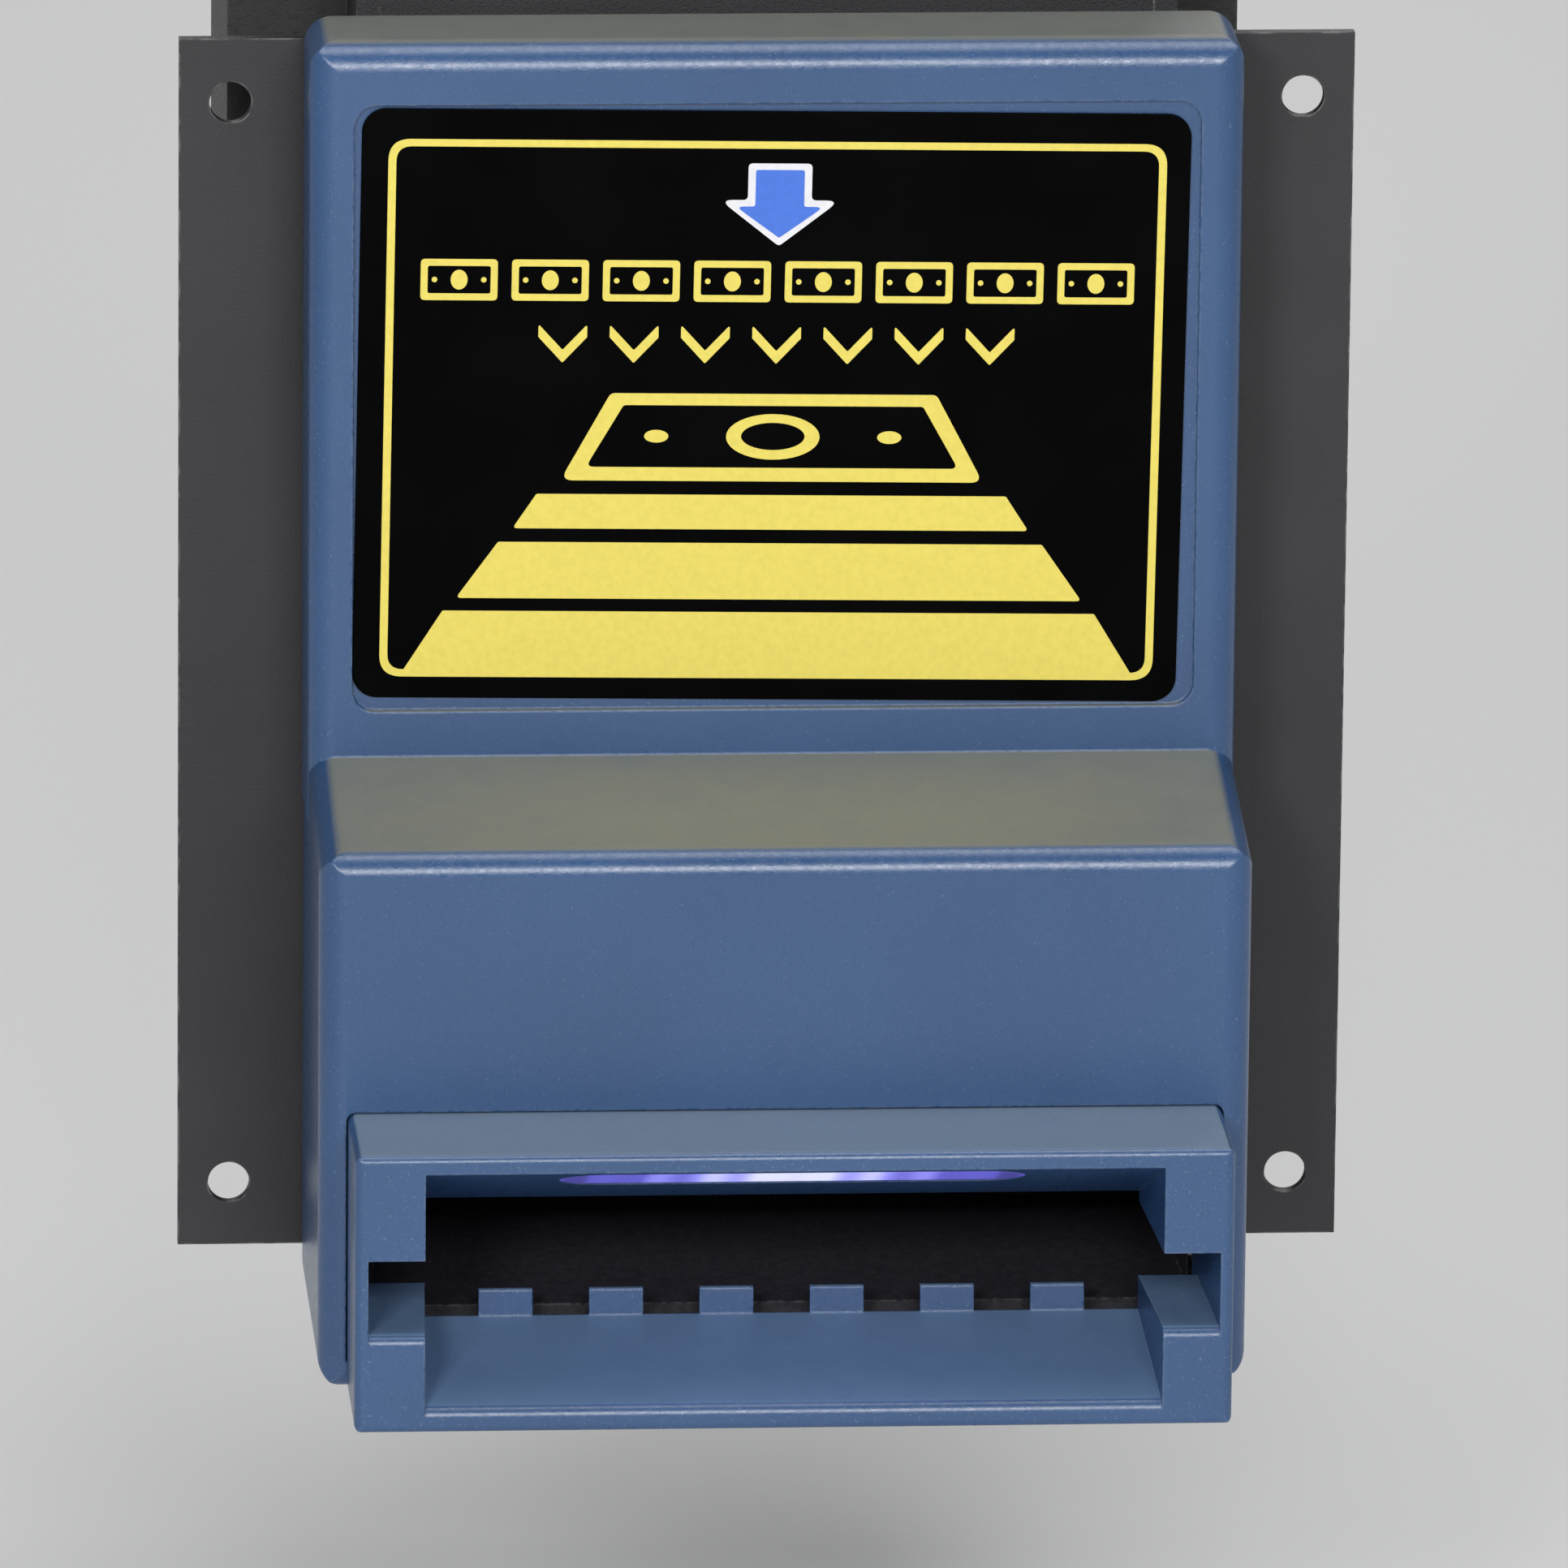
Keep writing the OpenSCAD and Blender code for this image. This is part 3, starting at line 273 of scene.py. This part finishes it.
def printed_ink(name, colour):
    """Screen-printed ink with a slight mottle."""
    look = Look(name, colour, rough=0.5, specular=0.35)
    mottle = look.noise(0.8, 3.0)
    look.to(look.blend(look.ramp(mottle, 0.35, 0.75, 0.0, 0.6), colour, shade(colour, 0.86)), "Base Color")
    look.to(look.ramp(mottle, 0.3, 0.7, 0.46, 0.58), "Roughness")
    look.bump(mottle, 0.01)
    return look.material


def lit_guide(name, centre, half):
    """Frosted light guide: near white in the middle and violet-blue at its ends, with soft hot spots.

    centre and half are the X of its middle and half its length, in metres.
    """
    look = Look(name, (0.12, 0.12, 0.3), rough=0.35)
    parts = look.node("SeparateXYZ", Vector=look.mm)
    away = look.math("ABSOLUTE", look.math("SUBTRACT", parts.outputs["X"], centre / MM), 0.0)
    share = look.math("DIVIDE", away, half / MM)
    spots = look.node("TexWave", {"Scale": 0.055, "Distortion": 0.6, "Detail": 1.0}, Vector=look.mm)
    mix = look.math("ADD", share, look.ramp(spots.outputs["Fac"], 0.0, 1.0, 0.12, -0.12))
    ramp = look.node("ValToRGB")
    ramp.color_ramp.elements[0].color = (0.72, 0.74, 0.98, 1)
    ramp.color_ramp.elements[0].position = 0.1
    ramp.color_ramp.elements[1].color = (0.03, 0.02, 0.2, 1)
    ramp.color_ramp.elements[1].position = 1.0
    for place, colour in ((0.4, (0.28, 0.27, 0.9, 1)), (0.66, (0.09, 0.08, 0.5, 1)),
                          (0.88, (0.075, 0.065, 0.45, 1))):
        ramp.color_ramp.elements.new(place).color = colour
    look.tree.links.new(mix, ramp.inputs["Fac"])
    look.to(ramp.outputs["Color"], "Emission Color")
    look.set("Emission Strength", 1.0)
    look.to(look.ramp(look.noise(0.6, 2.0), 0.3, 0.7, 0.3, 0.5), "Roughness")
    look.bump(look.noise(0.5, 2.0), 0.02)
    return look.material


def tinted_window(name):
    """Dark red infrared window, slightly rubbed."""
    look = Look(name, (0.12, 0.004, 0.006), rough=0.12, coat=0.4)
    rub = look.noise(1.5, 3.0)
    rubbed = look.blend(look.ramp(rub, 0.4, 0.8, 0.0, 0.5), (0.11, 0.004, 0.006), (0.2, 0.02, 0.02))
    look.to(rubbed, "Base Color")
    look.to(look.ramp(rub, 0.3, 0.7, 0.08, 0.3), "Roughness")
    look.bump(rub, 0.01)
    return look.material


MASK_DARK = (0.023, 0.071, 0.18)
MASK_LIGHT = (0.027, 0.081, 0.203)
# Colour of worn edges, of painted edge highlights and of painted glints
MASK_WEAR_AND_HIGHLIGHT = (0.36, 0.46, 0.62)
# Dust and painted sheen on what faces up: thin and bluish at the height low_z, thick and olive at high_z, in
# millimetres
MASK_DUST_AND_SHEEN = {
    "low_colour": (0.29, 0.43, 0.62), "high_colour": (0.2, 0.206, 0.168),
    "low_z": -66.0, "high_z": -16.0,
    "low_cover": 0.35, "high_cover": 0.9,
}

guide_low, guide_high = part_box("light_guide")
looks = {
    "mask": grained_plastic("mask_plastic", MASK_DARK, MASK_LIGHT, MASK_WEAR_AND_HIGHLIGHT, grain=0.3, depth=0.02, spec=0.7,
                            rough=(0.26, 0.36), sparkle=0.2, edge_wear_and_highlight_share=0.25, rounding=0.4, dust=MASK_DUST_AND_SHEEN),
    "release": grained_plastic("release_plastic", (0.02, 0.07, 0.32), (0.025, 0.085, 0.38), (0.3, 0.4, 0.7)),
    "black": grained_plastic("black_plastic", (0.012, 0.012, 0.013), (0.017, 0.017, 0.018),
                             (0.09, 0.09, 0.09), grain=0.3, depth=0.03),
    "throat": grained_plastic("throat_plastic", (0.014, 0.013, 0.018), (0.018, 0.017, 0.022),
                              (0.12, 0.12, 0.13), grain=0.3, depth=0.03),
    "box": grained_plastic("box_plastic", (0.017, 0.017, 0.019), (0.024, 0.024, 0.026), (0.12, 0.12, 0.12),
                           grain=0.55, depth=0.06),
    "grey": grained_plastic("grey_plastic", (0.05, 0.052, 0.055), (0.066, 0.068, 0.072), (0.2, 0.2, 0.2),
                            grain=0.3, depth=0.03),
    "acetal": grained_plastic("acetal_plastic", (0.62, 0.61, 0.56), (0.7, 0.69, 0.63), (0.8, 0.8, 0.76),
                              grain=0.4, depth=0.012, rough=(0.3, 0.42)),
    "sheet": coated_steel("coated_sheet", (0.016, 0.016, 0.018), (0.3, 0.3, 0.3)),
    "steel": turned_metal("bright_steel", (0.58, 0.58, 0.59), 0.22),
    "can": turned_metal("motor_can", (0.47, 0.47, 0.48), 0.3, along=(0.04, 1.0, 1.0)),
    "brass": turned_metal("turned_brass", (0.72, 0.48, 0.17), 0.25, along=(1.0, 0.2, 0.2)),
    "belt": rubber("belt_rubber", (0.014, 0.014, 0.015), 0.3),
    "roller": rubber("roller_rubber", (0.03, 0.03, 0.031), 0.22),
    "board": circuit_board("circuit_board"),
    "parts": grained_plastic("package_epoxy", (0.014, 0.014, 0.015), (0.02, 0.02, 0.021), (0.1, 0.1, 0.1),
                             grain=0.2, depth=0.02),
    "label": label_film("label_film"),
    "yellow": printed_ink("ink_yellow", (0.76, 0.64, 0.118)),
    "blue_ink": printed_ink("ink_blue", (0.06, 0.17, 0.66)),
    "white_ink": printed_ink("ink_white", (0.75, 0.75, 0.78)),
    "guide": lit_guide("light_guide_glow", (guide_low.x + guide_high.x) / 2,
                       (guide_high.x - guide_low.x) / 2),
    "window": tinted_window("infrared_window"),
}

LOOK_OF = {
    "mask": ["bezel_mask", "inlet_snout"],
    "release": ["door_release_slide"],
    "label": ["label_plate"],
    "guide": ["light_guide"],
    "window": ["upper_sensor_windows", "lower_sensor_windows"],
    "board": ["inlet_led_board", "upper_sensor_board", "lower_sensor_board", "main_board"],
    "parts": ["board_components", "encoder_sensor"],
    "throat": ["inlet_throat"],
    "black": ["upper_note_guide", "turn_guide", "note_path_door", "gear_cover",
              "board_cover", "encoder_disc"],
    "sheet": ["mounting_ears", "left_side_plate", "right_side_plate", "front_wall", "top_cover"],
    "steel": ["tie_rods", "chassis_screws", "door_hinge_pin", "front_pulley_shaft", "rear_drive_shaft",
              "top_pulley_shaft", "guide_rods", "lid_hinge_pin", "magnetic_head", "pressure_springs",
              "door_release_spring"],
    "roller": ["front_pinch_rollers", "rear_pinch_rollers"],
    "belt": ["transport_belts", "stacker_belts"],
    "acetal": ["front_pulleys", "rear_pulleys", "drive_gear", "top_pulleys", "compound_gear", "stacker_gear",
               "pusher_racks", "pinion_shaft", "harness_socket", "mode_switch_lever"],
    "brass": ["transport_pinion", "stacker_pinion", "shaft_bushes"],
    "can": ["transport_motor", "stacker_motor"],
    "grey": ["stacker_frame", "pusher_plate", "pressure_plate"],
    "box": ["cash_box", "cash_box_lid"],
}


def dress(obj, look):
    """Gives the whole piece one look."""
    obj.data.materials.clear()
    obj.data.materials.append(looks[look])


for look_name, node_names in LOOK_OF.items():
    for node_name in node_names:
        dress(NODES[node_name], look_name)


# ---------------------------------------------------------------- rounded edges
MERGE_WITHIN = 0.002 * MM
FLAT_WITHIN = math.radians(0.5)
SHARP_FROM = math.radians(35)


def soften(obj, width):
    """Rounds the sharp edges of a CAD piece by width millimetres, with modifiers alone."""
    merge = obj.modifiers.new("merge", "WELD")
    merge.merge_threshold = MERGE_WITHIN
    flat = obj.modifiers.new("flat", "DECIMATE")
    flat.decimate_type = "DISSOLVE"
    flat.angle_limit = FLAT_WITHIN
    bevel = obj.modifiers.new("round", "BEVEL")
    bevel.width = width * MM
    bevel.segments = 2
    bevel.limit_method = "ANGLE"
    bevel.angle_limit = SHARP_FROM
    bevel.use_clamp_overlap = True
    bevel.harden_normals = False


for node_name, width in (("cash_box", 0.5), ("cash_box_lid", 0.4), ("gear_cover", 0.25),
                         ("board_cover", 0.25), ("note_path_door", 0.25), ("label_plate", 0.12),
                         ("mounting_ears", 0.2), ("pusher_plate", 0.3)):
    soften(NODES[node_name], width)


# ---------------------------------------------------------------- building meshes
def mesh_object(name, bm, look, body):
    """Makes a visible piece from a bmesh, gives it its look, and puts it on its body."""
    data = bpy.data.meshes.new(name)
    bm.normal_update()
    bm.to_mesh(data)
    bm.free()
    obj = bpy.data.objects.new(name, data)
    SCENE.collection.objects.link(obj)
    dress(obj, look)
    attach(obj, body)
    return obj


def round_corners(points, radius, steps=6):
    """A closed outline whose corners are rounded to about radius, each by a curve of steps pieces."""
    out = []
    for i, point in enumerate(points):
        corner = Vector(point)
        before = Vector(points[i - 1]) - corner
        after = Vector(points[(i + 1) % len(points)]) - corner
        reach = min(radius / math.tan(before.angle(after) / 2), before.length / 2, after.length / 2)
        start = corner + before.normalized() * reach
        end = corner + after.normalized() * reach
        for k in range(steps + 1):
            t = k / steps
            p = (1 - t) ** 2 * start + 2 * t * (1 - t) * corner + t ** 2 * end
            out.append((p.x, p.y))
    return out


def rectangle(cx, cy, w, h):
    """Corners of a rectangle, from its middle and its size."""
    return [(cx - w / 2, cy - h / 2), (cx + w / 2, cy - h / 2),
            (cx + w / 2, cy + h / 2), (cx - w / 2, cy + h / 2)]


def ellipse(cx, cy, rx, ry, steps=40):
    """Points round an ellipse."""
    return [(cx + rx * math.cos(2 * math.pi * i / steps), cy + ry * math.sin(2 * math.pi * i / steps))
            for i in range(steps)]


# ---------------------------------------------------------------- label print
# The label's turn in its recess, as in the CAD
LABEL_TURN = math.radians(0.8)
# Thickness of the printed film
INK = 0.04 * MM
label_low, label_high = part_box("label_plate")
LABEL_CENTRE = (label_low + label_high) / 2
LABEL_FRONT = label_low.y


def on_label(u, v, lift):
    """A place on the label, in millimetres to the right and up from its centre, lifted off its face."""
    x = u * math.cos(LABEL_TURN) + v * math.sin(LABEL_TURN)
    z = -u * math.sin(LABEL_TURN) + v * math.cos(LABEL_TURN)
    return Vector((LABEL_CENTRE.x + x * MM, LABEL_FRONT - lift, LABEL_CENTRE.z + z * MM))


def print_ink(name, outlines, look, lift=0.0):
    """Prints closed outlines, with even-odd holes, as a thin film on the label."""
    curve = bpy.data.curves.new(name, "CURVE")
    curve.dimensions = "2D"
    curve.fill_mode = "BOTH"
    for outline in outlines:
        spline = curve.splines.new("POLY")
        spline.points.add(len(outline) - 1)
        for point, (u, v) in zip(spline.points, outline):
            point.co = (u, v, 0, 1)
        spline.use_cyclic_u = True
    curve.extrude = 0.5
    shape = bpy.data.objects.new(name + "_curve", curve)
    SCENE.collection.objects.link(shape)
    bpy.context.view_layer.update()
    data = bpy.data.meshes.new_from_object(shape.evaluated_get(bpy.context.evaluated_depsgraph_get()))
    bpy.data.objects.remove(shape)
    bm = bmesh.new()
    bm.from_mesh(data)
    bmesh.ops.remove_doubles(bm, verts=bm.verts, dist=1e-5)
    for vert in bm.verts:
        vert.co = on_label(vert.co.x, vert.co.y, lift + (vert.co.z + 0.5) * INK)
    bmesh.ops.recalc_face_normals(bm, faces=bm.faces)
    return mesh_object(name, bm, look, "chassis")


# Places on the label are in millimetres from its centre. The middles of the rows and of the road:
ROW_MIDDLE = 0.4
ROAD_MIDDLE = 0.25


def box_corners(left, bottom, right, top):
    """Corners of a rectangle, from its sides."""
    return [(left, bottom), (right, bottom), (right, top), (left, top)]


def road_bar(top, bottom, top_half, bottom_half):
    """A bar across the road, which is narrower at its far, top edge."""
    return [(ROAD_MIDDLE - bottom_half, bottom), (ROAD_MIDDLE + bottom_half, bottom),
            (ROAD_MIDDLE + top_half, top), (ROAD_MIDDLE - top_half, top)]


def row_places(count, pitch):
    """Middles of count signs, evenly spaced along a row."""
    return [ROW_MIDDLE + (i - (count - 1) / 2) * pitch for i in range(count)]


def note_icon(cx, cy, w, h, line):
    """Outlines of a small bank-note sign: a frame, a disc and two dots."""
    return [round_corners(rectangle(cx, cy, w, h), 0.5),
            round_corners(rectangle(cx, cy, w - 2 * line, h - 2 * line), 0.25),
            ellipse(cx, cy, h * 0.2, h * 0.24),
            ellipse(cx - w * 0.32, cy, 0.3, 0.3, 16), ellipse(cx + w * 0.32, cy, 0.3, 0.3, 16)]


def arrowhead(cx, half, top, side, tip, notch):
    """Outline of an arrowhead that points down; tip and notch are the heights of its middle."""
    return round_corners([(cx - half, top), (cx - half, side), (cx, tip),
                          (cx + half, side), (cx + half, top), (cx, notch)], 0.15)


print_ink("label_border", [
    round_corners(box_corners(-41.3, -29.9, 41.6, 29.0), 2.4, 10),
    round_corners(box_corners(-40.45, -29.1, 40.75, 28.2), 1.7, 10)], "yellow")
print_ink("label_bar_far", [round_corners(road_bar(-9.7, -13.5, 25.1, 27.6), 0.3)], "yellow")
print_ink("label_bar_middle", [round_corners(road_bar(-15.0, -21.2, 29.1, 33.5), 0.3)], "yellow")
print_ink("label_bar_near", [round_corners(road_bar(-22.6, -29.5, 34.9, 39.2), 0.3)], "yellow",
          lift=0.3 * INK)

# A row of bank notes, a row of arrowheads, and a bank note in perspective that leads into the slot
notes = []
for middle in row_places(count=8, pitch=9.7):
    notes += note_icon(middle, 13.7, w=8.2, h=4.5, line=0.75)
print_ink("label_note_row", notes, "yellow")
arrows = [arrowhead(middle, half=2.6, top=8.9, side=7.5, tip=4.7, notch=6.1)
          for middle in row_places(count=7, pitch=7.6)]
print_ink("label_arrow_row", arrows, "yellow")
print_ink("label_note_far", [
    round_corners(road_bar(1.4, -8.2, 17.4, 22.6), 0.8),
    round_corners(road_bar(0.1, -6.7, 16.0, 19.9), 0.5),
    ellipse(0.25, -3.3, 5.0, 2.5), ellipse(0.25, -3.25, 3.4, 1.5),
    ellipse(-12.2, -3.3, 1.3, 0.7, 24), ellipse(12.7, -3.3, 1.3, 0.7, 24)], "yellow")

# The badge is an arrow that points down, in a rim
badge = [(-3.0, 26.6), (-3.0, 22.6), (-6.0, 22.6), (0.4, 17.6), (6.8, 22.6), (3.8, 22.6), (3.8, 26.6)]
badge_core = [(-2.2, 25.9), (-2.2, 21.9), (-4.3, 21.9), (0.4, 18.5), (5.1, 21.9), (3.0, 21.9), (3.0, 25.9)]
print_ink("label_badge_rim", [round_corners(badge, 0.5)], "white_ink")
print_ink("label_badge", [round_corners(badge_core, 0.3)], "blue_ink", lift=0.9 * INK)


# ---------------------------------------------------------------- springs
CLOSED_TURNS = 0.75


def coil(name, start, end, r_start, r_end, wire, turns, look, body, sides=10, per_turn=28):
    """A compression spring along Y from start to end, with closed ends; wire is the wire's radius."""
    bm = bmesh.new()
    steps = int(turns * per_turn)
    previous = None
    for i in range(steps + 1):
        t = i / steps
        eased = min(max((t * turns - CLOSED_TURNS) / (turns - 2 * CLOSED_TURNS), 0.0), 1.0)
        angle = 2 * math.pi * t * turns
        radius = r_start + (r_end - r_start) * eased
        y = start.y + wire + (end.y - start.y - 2 * wire) * eased
        out = Vector((math.cos(angle), 0, math.sin(angle)))
        centre = Vector((start.x, y, start.z)) + out * radius
        ring = [bm.verts.new(centre + out * wire * math.cos(a) + Vector((0, wire * math.sin(a), 0)))
                for a in (2 * math.pi * k / sides for k in range(sides))]
        if previous:
            for k in range(sides):
                bm.faces.new((previous[k], previous[(k + 1) % sides], ring[(k + 1) % sides], ring[k]))
        else:
            bm.faces.new(ring)
        previous = ring
    bm.faces.new(list(reversed(previous)))
    bmesh.ops.recalc_face_normals(bm, faces=bm.faces)
    for face in bm.faces:
        face.smooth = True
    return mesh_object(name, bm, look, body)


springs_low, springs_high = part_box("pressure_springs")
big_spring_r = (springs_high.x - springs_low.x) / 2
plate_end_r = 8.2 * MM
lid_end_r = big_spring_r - 1.1 * MM
big_wire_r = 0.65 * MM
spring_parts = []
for tag, z in (("lower", springs_low.z + big_spring_r), ("upper", springs_high.z - big_spring_r)):
    spring_parts.append(coil(f"pressure_spring_{tag}", Vector((0, springs_low.y, z)),
                             Vector((0, springs_high.y, z)), plate_end_r, lid_end_r, big_wire_r, 5.5,
                             "steel", "chassis"))
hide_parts("pressure_springs")
for part in spring_parts:
    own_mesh(part)

small_low, small_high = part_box("door_release_spring")
small_z = (small_low.z + small_high.z) / 2
small_spring_r = 1.35 * MM
small_wire_r = 0.2 * MM
release_spring = coil("release_spring_coil", Vector((0, small_low.y, small_z)),
                      Vector((0, small_high.y, small_z)), small_spring_r, small_spring_r, small_wire_r, 9,
                      "steel", "door", sides=6, per_turn=20)
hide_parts("door_release_spring")
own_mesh(release_spring)


# ---------------------------------------------------------------- camera, light and floor
def aim(obj, place, target, roll=0.0):
    """Puts obj at place, looking at target, turned about its own line of sight by roll degrees."""
    back = (place - target).normalized()
    right = Vector((0, 0, 1)).cross(back).normalized()
    up = back.cross(right)
    turn = math.radians(roll)
    right, up = right * math.cos(turn) + up * math.sin(turn), up * math.cos(turn) - right * math.sin(turn)
    obj.matrix_world = Matrix.Translation(place) @ Matrix((right, up, back)).transposed().to_4x4()


def direction(azimuth, elevation):
    """Unit vector from the object to a camera; azimuth runs from the front towards +X, in degrees."""
    a, e = math.radians(azimuth), math.radians(elevation)
    return Vector((math.sin(a) * math.cos(e), -math.cos(a) * math.cos(e), math.sin(e)))


TARGET = Vector((0.3, -30.0, -7.8)) * MM
CAMERA_AZIMUTH = -4.1
CAMERA_ELEVATION = 15.0
CAMERA_ROLL = 0.56
CAMERA_DISTANCE = 2.0
VIEW_WIDTH = 166.8 * MM
camera_data = bpy.data.cameras.new("camera")
camera_data.sensor_width = 36.0
camera_data.lens = camera_data.sensor_width * CAMERA_DISTANCE / VIEW_WIDTH
camera_data.clip_start = 0.05
camera = bpy.data.objects.new("camera", camera_data)
SCENE.collection.objects.link(camera)
aim(camera, TARGET + direction(CAMERA_AZIMUTH, CAMERA_ELEVATION) * CAMERA_DISTANCE, TARGET, CAMERA_ROLL)
SCENE.camera = camera


LIGHT_TARGET = Vector((0.0, 0.02, 0.03))


def area_light(name, place, size, power):
    """A white rectangular light at place, in metres, turned towards the object."""
    data = bpy.data.lights.new(name, "AREA")
    data.shape = "RECTANGLE"
    data.size, data.size_y = size
    data.energy = power
    light = bpy.data.objects.new(name, data)
    SCENE.collection.objects.link(light)
    aim(light, Vector(place), LIGHT_TARGET)


area_light("key_left", (-0.4, -1.18, 0.5), (0.26, 0.26), 7.2)
area_light("key_right", (0.11, -1.24, 0.52), (0.4, 0.22), 6.8)
area_light("top", (0.1, -0.15, 1.3), (0.8, 0.5), 6)
area_light("fill", (1.1, -0.7, 0.35), (0.9, 0.9), 1.2)
area_light("back", (0.1, 1.25, 0.92), (1.2, 0.8), 8)

SKY_COLOUR = (0.86, 0.88, 0.92, 1)
SKY_STRENGTH = 0.15
world = bpy.data.worlds.new("studio")
world.use_nodes = True
sky = world.node_tree.nodes["Background"]
sky.inputs["Color"].default_value = SKY_COLOUR
sky.inputs["Strength"].default_value = SKY_STRENGTH
SCENE.world = world
SCENE.view_settings.view_transform = "Standard"

FLOOR_Z = -0.135
FLOOR_REACH = 3.0
floor_bm = bmesh.new()
bmesh.ops.create_circle(floor_bm, cap_ends=True, segments=96, radius=FLOOR_REACH)
floor_data = bpy.data.meshes.new("floor")
floor_bm.to_mesh(floor_data)
floor_bm.free()
floor = bpy.data.objects.new("floor", floor_data)
floor.location = (0, 0, FLOOR_Z)
SCENE.collection.objects.link(floor)
floor_look = Look("floor_paper", (0.8, 0.8, 0.795), rough=0.7)
floor_look.bump(floor_look.noise(3.0, 2.0), 0.05)
floor.data.materials.append(floor_look.material)
